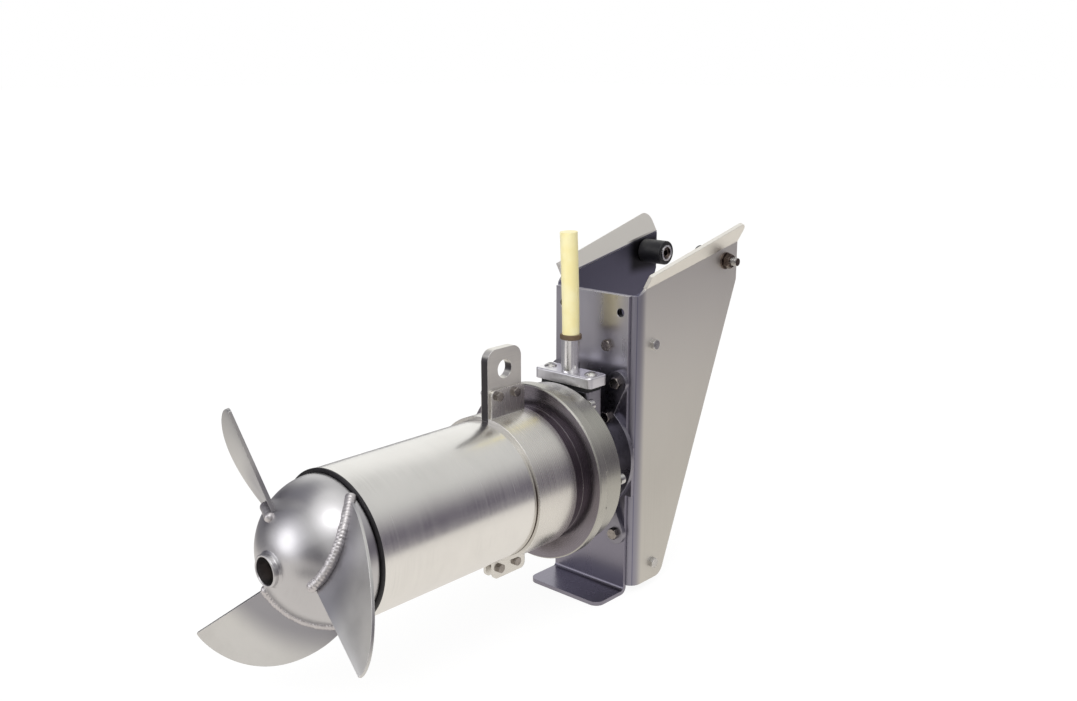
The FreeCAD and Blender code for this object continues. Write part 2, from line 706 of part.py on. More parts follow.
def rear_flange():
    seat_rear = REAR_BEARING_STATION + REAR_BEARING_W
    web_front = BARREL_LEN + 6.5
    web_rear = FLANGE_FRONT + 1.5
    rim_r = BARREL_IN - 6.5
    edge = FLANGE_EDGE
    body = turned([
        (REAR_BEARING_R, SPIGOT_FRONT), (REAR_BEARING_R + 8, SPIGOT_FRONT),
        (REAR_BEARING_R + 10, web_front), (rim_r, web_front),
        (rim_r, SPIGOT_FRONT), (BARREL_IN, SPIGOT_FRONT), (BARREL_IN, BARREL_LEN),
        (NECK_R, BARREL_LEN), (NECK_R, FLANGE_FRONT), (FLANGE_R - edge, FLANGE_FRONT),
        (FLANGE_R, FLANGE_FRONT + edge), (FLANGE_R, FLANGE_REAR - edge),
        (FLANGE_R - edge, FLANGE_REAR), (REAR_COVER_IN - 4, FLANGE_REAR),
        (REAR_COVER_IN - 4, web_rear), (REAR_BEARING_R - 4, web_rear),
        (REAR_BEARING_R - 4, seat_rear), (REAR_BEARING_R, seat_rear),
    ])
    cuts = [cyl_y(3 * LEAD_R, web_front - PAST, web_rear + PAST, x, z) for x, z in lead_places()]
    slot = block(FLANGE_R - PRY_SLOT_DEPTH, FLANGE_R + PAST, FLANGE_REAR - PRY_SLOT_W,
                 FLANGE_REAR + PAST, -PRY_SLOT_H / 2, PRY_SLOT_H / 2)
    cuts += [slot, mirrored(slot)]
    tap = cyl_y(M8_R + BOLT_PLAY, FLANGE_REAR - COVER_SCREW_GRIP - 2, FLANGE_REAR + PAST,
                COVER_SCREW_CIRCLE, 0)
    cuts += around(tap, COVER_SCREWS)
    return body.cut(cuts)


def cover_o_ring():
    centre = V(0, yy(FLANGE_REAR + O_RING_SECTION), 0)
    return Part.makeTorus(O_RING_R, O_RING_SECTION, centre, V(0, 1, 0))


def rear_cover():
    end = REAR_COVER_REAR
    inner_end = end - REAR_COVER_END_T
    body = turned([
        (REAR_COVER_IN, FLANGE_REAR), (REAR_COVER_R - 1, FLANGE_REAR), (REAR_COVER_R, FLANGE_REAR + 1),
        (REAR_COVER_R, end - 3), (REAR_COVER_R - 3, end), (LEAD_HOLE_R, end),
        (LEAD_HOLE_R, inner_end), (REAR_COVER_IN, inner_end),
    ])
    groove = tube_y(O_RING_R + O_RING_SECTION + 0.2, O_RING_R - O_RING_SECTION - 0.2,
                    FLANGE_REAR - PAST, FLANGE_REAR + 2 * O_RING_SECTION)
    hole = cyl_y(M8_R + BOLT_PLAY, FLANGE_REAR - PAST, end + PAST, COVER_SCREW_CIRCLE, 0)
    tap = cyl_y(M6_R + BOLT_PLAY, inner_end - PAST, end + PAST, HOUSING_SCREW_CIRCLE, 0)
    cuts = [groove] + around(hole, COVER_SCREWS) + around(tap, HOUSING_SCREWS, 45.0)
    return body.cut(cuts)


def cover_screws():
    base = V(COVER_SCREW_CIRCLE, yy(REAR_COVER_REAR), 0)
    length = REAR_COVER_REAR - FLANGE_REAR + COVER_SCREW_GRIP
    screw = cap_screw(M8_R, 6.5, 8.0, length, base, V(0, 1, 0), 6.0)
    return group(around(screw, COVER_SCREWS))


def rounded_box(x0, x1, s0, s1, z0, z1, radius):
    box = block(x0, x1, s0, s1, z0, z1)
    uprights = [e for e in box.Edges if abs(e.Length - (z1 - z0)) < 0.001
                and abs(e.tangentAt(e.FirstParameter).z) > 0.9]
    return box.makeFillet(radius, uprights)


def connection_housing():
    body = cyl_y(HOUSING_R, REAR_COVER_REAR, HOUSING_REAR)
    body = body.fuse(cyl_y(HOUSING_LIP_R, REAR_COVER_REAR, REAR_COVER_REAR + HOUSING_LIP_T))
    neck = rounded_box(-NECK_HALF_X, NECK_HALF_X, NECK_FRONT, NECK_REAR, 0, NECK_TOP, 5.0)
    body = body.fuse(neck)
    hollow = cyl_y(HOUSING_R - HOUSING_WALL, REAR_COVER_REAR - PAST, HOUSING_REAR - HOUSING_WALL)
    throat = cyl_z(GLAND_R + 3, 0, NECK_TOP + PAST, 0, CABLE_STATION)
    hole = cyl_y(M6_R + BOLT_PLAY, REAR_COVER_REAR - PAST, REAR_COVER_REAR + HOUSING_LIP_T + PAST,
                 HOUSING_SCREW_CIRCLE, 0)
    cuts = [hollow, throat] + around(hole, HOUSING_SCREWS, 45.0)
    for x in (-ENTRY_SCREW_X, ENTRY_SCREW_X):
        cuts.append(cyl_z(M8_R + BOLT_PLAY, NECK_TOP - 5 * M8_R, NECK_TOP + PAST, x, CABLE_STATION))
    return body.cut(cuts).removeSplitter()


def housing_screws():
    base = V(HOUSING_SCREW_CIRCLE, yy(REAR_COVER_REAR + HOUSING_LIP_T), 0)
    length = HOUSING_LIP_T + REAR_COVER_END_T - 2
    screw = cap_screw(M6_R, 5.0, 6.0, length, base, V(0, 1, 0), 5.0)
    return group(around(screw, HOUSING_SCREWS, 45.0))


def terminal_block():
    half_x = TERMINAL_HALF_X
    half_z = TERMINAL_HALF_Z
    base_front = TERMINAL_REAR - TERMINAL_BASE_T
    body = block(-half_x, half_x, TERMINAL_FRONT, TERMINAL_REAR, -half_z, half_z)
    posts = []
    for i in range(3):
        posts.append(cyl_y(POST_R, FLANGE_REAR, TERMINAL_FRONT + PAST, POST_PITCH * (i - 1), POST_Z))
    base = block(-half_x - 4, half_x + 4, base_front, TERMINAL_REAR, -half_z - 6, half_z + 6)
    reach = LEAD_HOLE_R + 22
    bridge = block(-reach, reach, base_front, TERMINAL_REAR, -half_z / 2, half_z / 2)
    return body.fuse(posts + [base, bridge]).removeSplitter()


def bent_wire(points, radius, bend):
    """Round wire along straight runs with an arc at each corner."""
    edges = []
    last = points[0]
    for i in range(1, len(points) - 1):
        back = points[i - 1] - points[i]
        ahead = points[i + 1] - points[i]
        back.normalize()
        ahead.normalize()
        half = back.getAngle(ahead) / 2
        reach = bend / math.tan(half)
        inward = back + ahead
        inward.normalize()
        p0 = points[i] + V(back).multiply(reach)
        p1 = points[i] + V(ahead).multiply(reach)
        mid = points[i] + V(inward).multiply(bend / math.sin(half) - bend)
        edges.append(Part.makeLine(last, p0))
        edges.append(Part.Arc(p0, mid, p1).toShape())
        last = p1
    edges.append(Part.makeLine(last, points[-1]))
    ring = Part.Wire([Part.makeCircle(radius, points[0], points[1] - points[0])])
    return Part.Wire(edges).makePipeShell([ring], True, True)


def stator_leads():
    """From the windings through the rear flange to the front of the terminals."""
    cross = FLANGE_FRONT + 7.5
    leads = []
    for (x, z), post in zip(lead_places(), (1, -1, 0)):
        points = [
            V(x, yy(STATOR_REAR + WINDING_LEN), z),
            V(x, yy(cross), z),
            V(post * POST_PITCH, yy(cross), POST_Z),
            V(post * POST_PITCH, yy(FLANGE_REAR), POST_Z),
        ]
        leads.append(bent_wire(points, LEAD_R, LEAD_BEND))
    return leads


# Mounting flange and its bolts

def ear_places():
    return [(sx * EAR_X, sz * EAR_Z) for sx in (-1, 1) for sz in (-1, 1)]


def inner_places():
    x = INNER_BOLT_CIRCLE * math.cos(math.radians(INNER_BOLT_ANGLE))
    z = INNER_BOLT_CIRCLE * math.sin(math.radians(INNER_BOLT_ANGLE))
    return [(sx * x, sz * z) for sx in (-1, 1) for sz in (-1, 1)]


def mounting_flange():
    body = cyl_y(MOUNT_FLANGE_R, HOUSING_REAR, MOUNT_FLANGE_REAR)
    reach = math.hypot(EAR_X, EAR_Z)
    arm = block(0, reach, HOUSING_REAR, MOUNT_FLANGE_REAR, -EAR_R, EAR_R)
    for x, z in ear_places():
        piece = arm.copy()
        piece.rotate(V(0, 0, 0), V(0, -1, 0), math.degrees(math.atan2(z, x)))
        body = body.fuse(piece).fuse(cyl_y(EAR_R, HOUSING_REAR, MOUNT_FLANGE_REAR, x, z))
    cuts = []
    for x, z in ear_places() + inner_places():
        cuts.append(cyl_y(M8_R + BOLT_PLAY, HOUSING_REAR - 1, MOUNT_FLANGE_REAR + 1, x, z))
    return body.cut(cuts).removeSplitter()


def mounting_bolts():
    length = MOUNT_FLANGE_T + PLATE_T + CHANNEL_T + BOLT_SPARE
    bolts = []
    for x, z in ear_places() + inner_places():
        base = V(x, yy(HOUSING_REAR), z)
        bolts.append(hex_bolt(M8_R, 13.0, 5.5, length, base, V(0, -1, 0)))
    for x, z in screw_places():
        base = V(x, yy(MOUNT_FLANGE_REAR), z)
        bolts.append(hex_bolt(M8_R, 13.0, 5.5, PLATE_T + CHANNEL_T + BOLT_SPARE, base, V(0, -1, 0)))
    return group(bolts)


def mounting_nuts():
    nuts = []
    for x, z in ear_places() + inner_places() + screw_places():
        base = V(x, yy(CHANNEL_FRONT + CHANNEL_T), z)
        nuts.append(nut(M8_R + BOLT_PLAY, 13.0, 6.5, base, V(0, 1, 0), 30.0))
    return group(nuts)


# Cable entry

def entry_holes(z0, z1):
    """Hole of the gland tube and the two screw holes between two heights."""
    holes = [cyl_z(GLAND_R, z0 - PAST, z1 + PAST, 0, CABLE_STATION)]
    for x in (-ENTRY_SCREW_X, ENTRY_SCREW_X):
        holes.append(cyl_z(M8_R + BOLT_PLAY, z0 - PAST, z1 + PAST, x, CABLE_STATION))
    return holes


def entry_gasket():
    z1 = NECK_TOP + GASKET_T
    pad = rounded_box(-NECK_HALF_X + 1, NECK_HALF_X - 1, NECK_FRONT + 1, NECK_REAR - 1,
                      NECK_TOP, z1, 4.0)
    return pad.cut(entry_holes(NECK_TOP, z1))


def entry_plate():
    z0 = NECK_TOP + GASKET_T
    z1 = z0 + ENTRY_PLATE_T
    plate = rounded_box(-ENTRY_PLATE_HALF_X, ENTRY_PLATE_HALF_X, ENTRY_PLATE_FRONT,
                        ENTRY_PLATE_REAR, z0, z1, 6.0)
    top = [e for e in plate.Edges if e.BoundBox.ZMin > z1 - 0.01]
    return plate.makeFillet(2.0, top).cut(entry_holes(z0, z1))


def entry_screws():
    """Button-head screws: a low dome with a socket, and the shank."""
    z1 = NECK_TOP + GASKET_T + ENTRY_PLATE_T
    rise = ENTRY_SCREW_DOME
    dome_r = (ENTRY_SCREW_HEAD_R * ENTRY_SCREW_HEAD_R + rise * rise) / (2 * rise) + PAST
    screws = []
    for x in (-ENTRY_SCREW_X, ENTRY_SCREW_X):
        dome = Part.makeSphere(dome_r, V(x, yy(CABLE_STATION), z1 + rise - dome_r))
        head = dome.common(cyl_z(ENTRY_SCREW_HEAD_R, z1, z1 + rise, x, CABLE_STATION))
        drive = hexagon(5.0, rise, V(x, yy(CABLE_STATION), z1 + 0.4 * rise), V(0, 0, 1))
        shank = cyl_z(M8_R, NECK_TOP - 3.5 * M8_R, z1 + 0.5, x, CABLE_STATION)
        screws.append(head.cut(drive).fuse(shank).removeSplitter())
    return group(screws)


def gland_tube():
    tube = cyl_z(GLAND_R, NECK_TOP, GLAND_TOP, 0, CABLE_STATION)
    return tube.cut(cyl_z(CABLE_R + RUN_FIT, NECK_TOP - PAST, GLAND_TOP + PAST, 0, CABLE_STATION))


def gland_collar():
    top = GLAND_TOP + COLLAR_T
    ring = cyl_z(COLLAR_R, GLAND_TOP, top, 0, CABLE_STATION)
    rims = [e for e in ring.Edges if abs(e.Length - 2 * math.pi * COLLAR_R) < 0.01]
    ring = ring.makeFillet(1.2, rims)
    return ring.cut(cyl_z(CABLE_R + RUN_FIT, GLAND_TOP - PAST, top + PAST, 0, CABLE_STATION))


def gland_seal():
    low = NECK_TOP - GLAND_SEAL_LEN
    seal = cyl_z(GLAND_R + 3, low, NECK_TOP, 0, CABLE_STATION)
    return seal.cut(cyl_z(CABLE_R + RUN_FIT, low - PAST, NECK_TOP + PAST, 0, CABLE_STATION))


def power_cable():
    """Short stiff tail: straight through the gland, then leaning a little forward."""
    route = [
        V(0, yy(CABLE_STATION), CABLE_LOW),
        V(0, yy(CABLE_STATION), CABLE_KNEE),
        V(0, yy(CABLE_STATION - CABLE_LEAN), CABLE_TOP),
    ]
    cable = bent_wire(route, CABLE_R, CABLE_BEND)
    rims = [e for e in cable.Edges if e.BoundBox.ZMin > CABLE_TOP - CABLE_R]
    return cable.makeChamfer(CABLE_EDGE, rims)


def cable_conductors():
    """From the stripped end of the cable to the rear of the terminals."""
    wires = []
    for i in range(3):
        x = CONDUCTOR_PITCH * (i - 1)
        points = [
            V(x, yy(CABLE_STATION), CABLE_LOW),
            V(x, yy(CABLE_STATION), CABLE_LOW - 28),
            V(POST_PITCH * (i - 1), yy(CABLE_STATION) - 12.5, POST_Z + 2),
            V(POST_PITCH * (i - 1), yy(TERMINAL_REAR), POST_Z + 2),
        ]
        wires.append(bent_wire(points, CONDUCTOR_R, CONDUCTOR_BEND))
    return wires


def inner_wiring():
    """Leads from the stator to the terminals and conductors of the cable."""
    return group(stator_leads() + cable_conductors())


# Lifting clamp

def band_ear(x0, z0, z1):
    """Flat ear of the clamp band, with the corners of its far end rounded."""
    ear = block(x0, x0 + EAR_T, BAND_FRONT + 3, BAND_REAR - 5, min(z0, z1), max(z0, z1))
    corners = []
    for edge in ear.Edges:
        if abs(edge.Length - EAR_T) < 0.001 and abs(edge.CenterOfMass.z - z1) < 0.001:
            corners.append(edge)
    return ear.makeFillet(EAR_CORNER_R, corners)


def band_half(sign):
    f = BAND_FRONT - PAST
    b = BAND_REAR + PAST
    ring = tube_y(BAND_R, BARREL_R, BAND_FRONT, BAND_REAR)
    half = ring.common(block(0, BAND_R + PAST, f, b, -BAND_R - PAST, BAND_R + PAST))
    upper = band_ear(LUG_T / 2, BARREL_R - 1, EAR_TOP)
    lower = band_ear(LOWER_GAP / 2, -BARREL_R + 1, -EAR_TOP + EAR_DROP)
    half = half.fuse([upper, lower]).cut(cyl_y(BARREL_R, f, b))
    half = half.cut(block(-PAST, LUG_T / 2, f, b, 0, EAR_TOP))
    half = half.cut(block(-PAST, LOWER_GAP / 2, f, b, -EAR_TOP, 0))
    for s in (CLAMP_BOLT_FRONT, CLAMP_BOLT_REAR):
        for z in (CLAMP_BOLT_UP, CLAMP_BOLT_DOWN):
            half = half.cut(cyl_x(M6_R + BOLT_PLAY, 0, BAND_R, s, z))
    half = half.removeSplitter()
    if sign < 0:
        half = mirrored(half)
    return half


def lifting_lug():
    plate = block(-LUG_T / 2, LUG_T / 2, LUG_FRONT, LUG_REAR, BARREL_R, LUG_TOP)
    corners = []
    for edge in plate.Edges:
        if abs(edge.Length - LUG_T) < 0.001 and abs(edge.CenterOfMass.z - LUG_TOP) < 0.001:
            corners.append(edge)
    plate = plate.makeFillet(LUG_CORNER_R, corners)
    middle = (LUG_FRONT + LUG_REAR) / 2
    cuts = [cyl_x(LUG_HOLE_R, -LUG_T, LUG_T, middle, LUG_HOLE_Z)]
    for s in (CLAMP_BOLT_FRONT, CLAMP_BOLT_REAR):
        cuts.append(cyl_x(M6_R + BOLT_PLAY, -LUG_T, LUG_T, s, CLAMP_BOLT_UP))
    return plate.cut(cuts)


def clamp_places():
    upper = LUG_T / 2 + EAR_T
    lower = LOWER_GAP / 2 + EAR_T
    places = []
    for s in (CLAMP_BOLT_FRONT, CLAMP_BOLT_REAR):
        places.append((upper, s, CLAMP_BOLT_UP))
        places.append((lower, s, CLAMP_BOLT_DOWN))
    return places


def clamp_bolts():
    bolts = []
    for x, s, z in clamp_places():
        bolts.append(hex_bolt(M6_R, 10.0, 4.2, 2 * x + 8, V(x, yy(s), z), V(1, 0, 0)))
    return group(bolts)


def clamp_nuts():
    nuts = []
    for x, s, z in clamp_places():
        nuts.append(nut(M6_R + BOLT_PLAY, 10.0, 5.0, V(-x, yy(s), z), V(-1, 0, 0)))
    return group(nuts)


# Bracket

def plate_section():
    """Side profile of the L-shaped plate: upright, rounded bend and foot."""
    rear = yy(MOUNT_FLANGE_REAR + PLATE_T)
    front = yy(MOUNT_FLANGE_REAR)
    low = PLATE_FOOT_Z
    r_in = FOOT_BEND_R - PLATE_T
    c = V(0, rear - FOOT_BEND_R, low + FOOT_BEND_R)
    k = math.sqrt(0.5)
    edges = [
        Part.makeLine(V(0, rear, PLATE_TOP), V(0, rear, low + FOOT_BEND_R)),
        Part.Arc(V(0, rear, low + FOOT_BEND_R), c + V(0, FOOT_BEND_R * k, -FOOT_BEND_R * k),
                 V(0, rear - FOOT_BEND_R, low)).toShape(),
        Part.makeLine(V(0, rear - FOOT_BEND_R, low), V(0, yy(FOOT_FRONT), low)),
        Part.makeLine(V(0, yy(FOOT_FRONT), low), V(0, yy(FOOT_FRONT), low + PLATE_T)),
        Part.makeLine(V(0, yy(FOOT_FRONT), low + PLATE_T), V(0, rear - FOOT_BEND_R, low + PLATE_T)),
        Part.Arc(V(0, rear - FOOT_BEND_R, low + PLATE_T), c + V(0, r_in * k, -r_in * k),
                 V(0, front, low + FOOT_BEND_R)).toShape(),
        Part.makeLine(V(0, front, low + FOOT_BEND_R), V(0, front, PLATE_TOP)),
        Part.makeLine(V(0, front, PLATE_TOP), V(0, rear, PLATE_TOP)),
    ]
    return Part.Face(Part.Wire(edges))


def mounting_plate():
    body = plate_section().extrude(V(2 * PLATE_HALF_X, 0, 0))
    body.translate(V(-PLATE_HALF_X, 0, 0))
    corners = []
    for edge in body.Edges:
        mid = edge.CenterOfMass
        upright = abs(edge.Length - PLATE_T) < 0.001 and abs(edge.tangentAt(edge.FirstParameter).z) > 0.9
        if upright and mid.y < yy(FOOT_FRONT) + 1:
            corners.append(edge)
    body = body.makeFillet(FOOT_CORNER_R, corners)
    tab = block(-TAB_X, TAB_X, MOUNT_FLANGE_REAR, MOUNT_FLANGE_REAR + PLATE_T, TAB_LOW, TAB_TOP)
    body = body.fuse(tab)
    cuts = []
    for x, z in ear_places() + inner_places() + screw_places():
        cuts.append(cyl_y(M8_R + BOLT_PLAY, MOUNT_FLANGE_REAR - 1, CHANNEL_FRONT + 1, x, z))
    for x in (-FIXING_HOLE_X, FIXING_HOLE_X):
        cuts.append(cyl_y(FIXING_HOLE_R, MOUNT_FLANGE_REAR - 1, CHANNEL_FRONT + 1, x, FIXING_HOLE_Z))
    return body.cut(cuts).removeSplitter()


def screw_places():
    return [(-PLATE_SCREW_X, PLATE_SCREW_Z), (PLATE_SCREW_X, PLATE_SCREW_Z)]


def channel_plan():
    """U section seen from above, open to the back."""
    w = CHANNEL_HALF
    t = CHANNEL_T
    r = CHANNEL_BEND
    k = math.sqrt(0.5)
    f = yy(CHANNEL_FRONT)
    b = yy(BACK_STATION + 5)
    z = CHANNEL_LOW
    ri = r - t

    def p(x, y):
        return V(x, y, z)

    edges = [
        Part.makeLine(p(-w, b), p(-w, f + r)),
        Part.Arc(p(-w, f + r), p(-w + r - r * k, f + r - r * k), p(-w + r, f)).toShape(),
        Part.makeLine(p(-w + r, f), p(w - r, f)),
        Part.Arc(p(w - r, f), p(w - r + r * k, f + r - r * k), p(w, f + r)).toShape(),
        Part.makeLine(p(w, f + r), p(w, b)),
        Part.makeLine(p(w, b), p(w - t, b)),
        Part.makeLine(p(w - t, b), p(w - t, f + r)),
        Part.Arc(p(w - t, f + r), p(w - r + ri * k, f + r - ri * k), p(w - r, f + t)).toShape(),
        Part.makeLine(p(w - r, f + t), p(-w + r, f + t)),
        Part.Arc(p(-w + r, f + t), p(-w + r - ri * k, f + r - ri * k), p(-w + t, f + r)).toShape(),
        Part.makeLine(p(-w + t, f + r), p(-w + t, b)),
        Part.makeLine(p(-w + t, b), p(-w, b)),
    ]
    return Part.Face(Part.Wire(edges))


def side_outline():
    """Outline of the side plates, wide at the top and narrow at the bottom."""
    x0 = -CHANNEL_HALF - 5
    corners = [
        V(x0, yy(CHANNEL_FRONT - 2), CHANNEL_LOW),
        V(x0, yy(BACK_LOW_STATION), CHANNEL_LOW),
        V(x0, yy(BACK_STATION), BACK_KNEE_Z),
        V(x0, yy(BACK_STATION), FOLD_REAR_Z),
        V(x0, yy(FOLD_FRONT_STATION), FOLD_FRONT_Z),
        V(x0, yy(FOLD_FRONT_STATION - 10), PLATE_TOP),
        V(x0, yy(CHANNEL_FRONT - 2), PLATE_TOP),
    ]
    face = Part.Face(Part.makePolygon(corners + [corners[0]]))
    solid = face.extrude(V(2 * CHANNEL_HALF + 10, 0, 0))
    rounded = []
    for edge in solid.Edges:
        mid = edge.CenterOfMass
        along = abs(edge.Length - 2 * CHANNEL_HALF - 10) < 0.001
        if along and abs(mid.y - yy(BACK_LOW_STATION)) < 1 and mid.z < CHANNEL_LOW + 1:
            rounded.append(edge)
    return solid.makeFillet(LOW_CORNER_R, rounded)


def flare():
    """Outward-leaning strip along the top of the right side plate."""
    start = V(CHANNEL_HALF, yy(FOLD_FRONT_STATION), FOLD_FRONT_Z)
    end = V(CHANNEL_HALF, yy(BACK_STATION), FOLD_REAR_Z)
    far = end + V(FLARE_REAR_X, 0, FLARE_REAR_Z)
    normal = (end - start).cross(far - end)
    normal.normalize()
    if normal.x > 0:
        normal = V(normal).multiply(-1.0)
    near = start + V(FLARE_FRONT_X, 0, FLARE_FRONT_Z)
    near = near - V(normal).multiply((near - start).dot(normal))
    inset = V(normal).cross(end - start)
    inset.normalize()
    if inset.z > 0:
        inset = V(inset).multiply(-1.0)
    dip = V(inset).multiply(1.5)
    face = Part.Face(Part.makePolygon([start + dip, end + dip, far, near, start + dip]))
    strip = face.extrude(V(normal).multiply(CHANNEL_T))
    rounded = []
    for edge in strip.Edges:
        if abs(edge.Length - CHANNEL_T) < 0.001:
            offset = edge.CenterOfMass - far
            if abs(offset.Length - CHANNEL_T / 2) < 0.01:
                rounded.append(edge)
    return strip.makeFillet(FLARE_CORNER_R, rounded)


def guide_channel():
    body = channel_plan().extrude(V(0, 0, FOLD_REAR_Z - CHANNEL_LOW + 10)).common(side_outline())
    strip = flare()
    body = body.fuse(strip).fuse(mirrored(strip))
    cuts = []
    for x, z in ear_places() + inner_places() + screw_places():
        cuts.append(cyl_y(M8_R + BOLT_PLAY, CHANNEL_FRONT - 1, CHANNEL_FRONT + CHANNEL_T + 1, x, z))
    for x in (-FIXING_HOLE_X, FIXING_HOLE_X):
        cuts.append(cyl_y(FIXING_HOLE_R, CHANNEL_FRONT - 1, CHANNEL_FRONT + 2 * CHANNEL_T, x, FIXING_HOLE_Z))
    far = CHANNEL_HALF + FLARE_REAR_X
    cuts.append(cyl_x(M10_R + BOLT_PLAY, -far, far, TOP_ROLLER_STATION, TOP_ROLLER_Z))
    cuts.append(cyl_x(M8_R + BOLT_PLAY, -far, far, TIE_STATION, TIE_Z))
    cuts.append(cyl_x(M8_R + BOLT_PLAY, -far, far, LOW_ROLLER_STATION, LOW_ROLLER_Z))
    return body.cut(cuts).removeSplitter()


# Rollers

def top_roller(sign):
    x0 = TOP_ROLLER_INNER_X
    x1 = CHANNEL_HALF - CHANNEL_T - SIDE_PLAY
    roller = tube_x(TOP_ROLLER_R, BUSH_R + RUN_FIT, x0 + 1, x1, TOP_ROLLER_STATION, TOP_ROLLER_Z)
    rims = [e for e in roller.Edges if abs(e.Length - 2 * math.pi * TOP_ROLLER_R) < 0.01]
    roller = roller.makeFillet(1.5, rims)
    return roller if sign > 0 else mirrored(roller)


def roller_bushes():
    x0 = TOP_ROLLER_INNER_X
    x1 = CHANNEL_HALF - CHANNEL_T
    bush = tube_x(BUSH_R, M10_R + BOLT_PLAY, x0, x1, TOP_ROLLER_STATION, TOP_ROLLER_Z)
    pocket = cyl_x(M10_HEAD_R + 0.3, x0 - 1, x0 + M10_HEAD_H + 2, TOP_ROLLER_STATION, TOP_ROLLER_Z)
    bush = bush.cut(pocket)
    return group([bush, mirrored(bush)])


def roller_bolts():
    base = V(TOP_ROLLER_INNER_X + M10_HEAD_H + 2, yy(TOP_ROLLER_STATION), TOP_ROLLER_Z)
    length = CHANNEL_HALF + ROLLER_SPARE - TOP_ROLLER_INNER_X - M10_HEAD_H - 2
    bolt = cap_screw(M10_R, M10_HEAD_R, M10_HEAD_H, length, base, V(-1, 0, 0), 8.0)
    return group([bolt, mirrored(bolt)])


def roller_washers():
    ring = washer(11.0, M10_R + BOLT_PLAY, 2.0, V(CHANNEL_HALF, yy(TOP_ROLLER_STATION), TOP_ROLLER_Z),
                  V(1, 0, 0))
    return group([ring, mirrored(ring)])


def roller_nuts():
    base = V(CHANNEL_HALF + 2, yy(TOP_ROLLER_STATION), TOP_ROLLER_Z)
    one = nut(M10_R + BOLT_PLAY, M10_FLATS, 8.4, base, V(1, 0, 0))
    return group([one, mirrored(one)])


def lower_roller():
    x1 = CHANNEL_HALF - CHANNEL_T - SIDE_PLAY
    roller = tube_x(LOW_ROLLER_R, M8_R + 2 * BOLT_PLAY, -x1, x1, LOW_ROLLER_STATION, LOW_ROLLER_Z)
    for x in (-x1, x1 - 10):
        pocket = tube_x(LOW_ROLLER_R - 4, 9.0, x - (1 if x < 0 else 0), x + (10 if x < 0 else 11),
                        LOW_ROLLER_STATION, LOW_ROLLER_Z)
        roller = roller.cut(pocket)
    return roller


def tie_spacer():
    x1 = CHANNEL_HALF - CHANNEL_T
    return tube_x(SPACER_R, M8_R + BOLT_PLAY, -x1, x1, TIE_STATION, TIE_Z)


def side_bolts():
    bolts = []
    for s, z in ((TIE_STATION, TIE_Z), (LOW_ROLLER_STATION, LOW_ROLLER_Z)):
        base = V(CHANNEL_HALF, yy(s), z)
        bolts.append(hex_bolt(M8_R, 12.0, 5.0, 2 * CHANNEL_HALF + BOLT_SPARE, base, V(1, 0, 0)))
    return group(bolts)


def side_nuts():
    nuts = []
    for s, z in ((TIE_STATION, TIE_Z), (LOW_ROLLER_STATION, LOW_ROLLER_Z)):
        nuts.append(nut(M8_R + BOLT_PLAY, 12.0, 6.0, V(-CHANNEL_HALF, yy(s), z), V(-1, 0, 0)))
    return group(nuts)


def main():
    os.makedirs("parts", exist_ok=True)
    save("propeller_hub", propeller_hub())
    for i in range(BLADE_COUNT):
        save("blade_%d" % (i + 1), blade(BLADE_TIP_ANGLE - 120.0 * i))
    save("hub_washer", hub_washer())
    save("hub_screw", hub_screw())
    save("motor_shaft", motor_shaft())
    save("shaft_key", shaft_key())
    save("seal_bellows", seal_bellows())
    save("seal_rotating_face", seal_rotating_face())
    save("seal_fixed_face", seal_fixed_face())
    save("front_cover", front_cover())
    save("front_ring", front_ring())
    save("bearing_carrier", bearing_carrier())
    save("shaft_lip_seal", lip_seal())
    inner, outer, balls = bearing_parts(SHAFT_FRONT_BEARING_R, FRONT_BEARING_R, FRONT_BEARING_W,
                                        FRONT_BEARING_STATION, FRONT_BALLS)
    save("front_bearing_inner_race", inner)
    save("front_bearing_outer_race", outer)
    save("front_bearing_balls", balls)
    inner, outer, balls = bearing_parts(SHAFT_REAR_BEARING_R, REAR_BEARING_R, REAR_BEARING_W,
                                        REAR_BEARING_STATION, REAR_BALLS)
    save("rear_bearing_inner_race", inner)
    save("rear_bearing_outer_race", outer)
    save("rear_bearing_balls", balls)
    save("motor_barrel", tube_y(BARREL_R, BARREL_IN, 0, BARREL_LEN))
    save("stator_core", stator_core())
    save("stator_windings", stator_windings())
    save("rotor_core", rotor_core())
    save("rear_flange", rear_flange())
    save("cover_o_ring", cover_o_ring())
    save("rear_cover", rear_cover())
    save("cover_screws", cover_screws())
    save("connection_housing", connection_housing())
    save("housing_screws", housing_screws())
    save("terminal_block", terminal_block())
    save("mounting_flange", mounting_flange())
    save("mounting_bolts", mounting_bolts())
    save("mounting_nuts", mounting_nuts())
    save("entry_gasket", entry_gasket())
    save("cable_entry_plate", entry_plate())
    save("entry_plate_screws", entry_screws())
    save("gland_tube", gland_tube())
    save("gland_collar", gland_collar())
    save("gland_seal", gland_seal())
    save("power_cable", power_cable())
    save("inner_wiring", inner_wiring())
    save("clamp_band_right", band_half(1))
    save("clamp_band_left", band_half(-1))
    save("lifting_lug", lifting_lug())
    save("clamp_bolts", clamp_bolts())
    save("clamp_nuts", clamp_nuts())
    save("mounting_plate", mounting_plate())
    save("guide_channel", guide_channel())
    save("top_roller_right", top_roller(1))
    save("top_roller_left", top_roller(-1))
    save("roller_bushes", roller_bushes())
    save("roller_bolts", roller_bolts())
    save("roller_washers", roller_washers())
    save("roller_nuts", roller_nuts())
    save("lower_roller", lower_roller())
    save("tie_spacer", tie_spacer())
    save("side_bolts", side_bolts())
    save("side_nuts", side_nuts())


main()
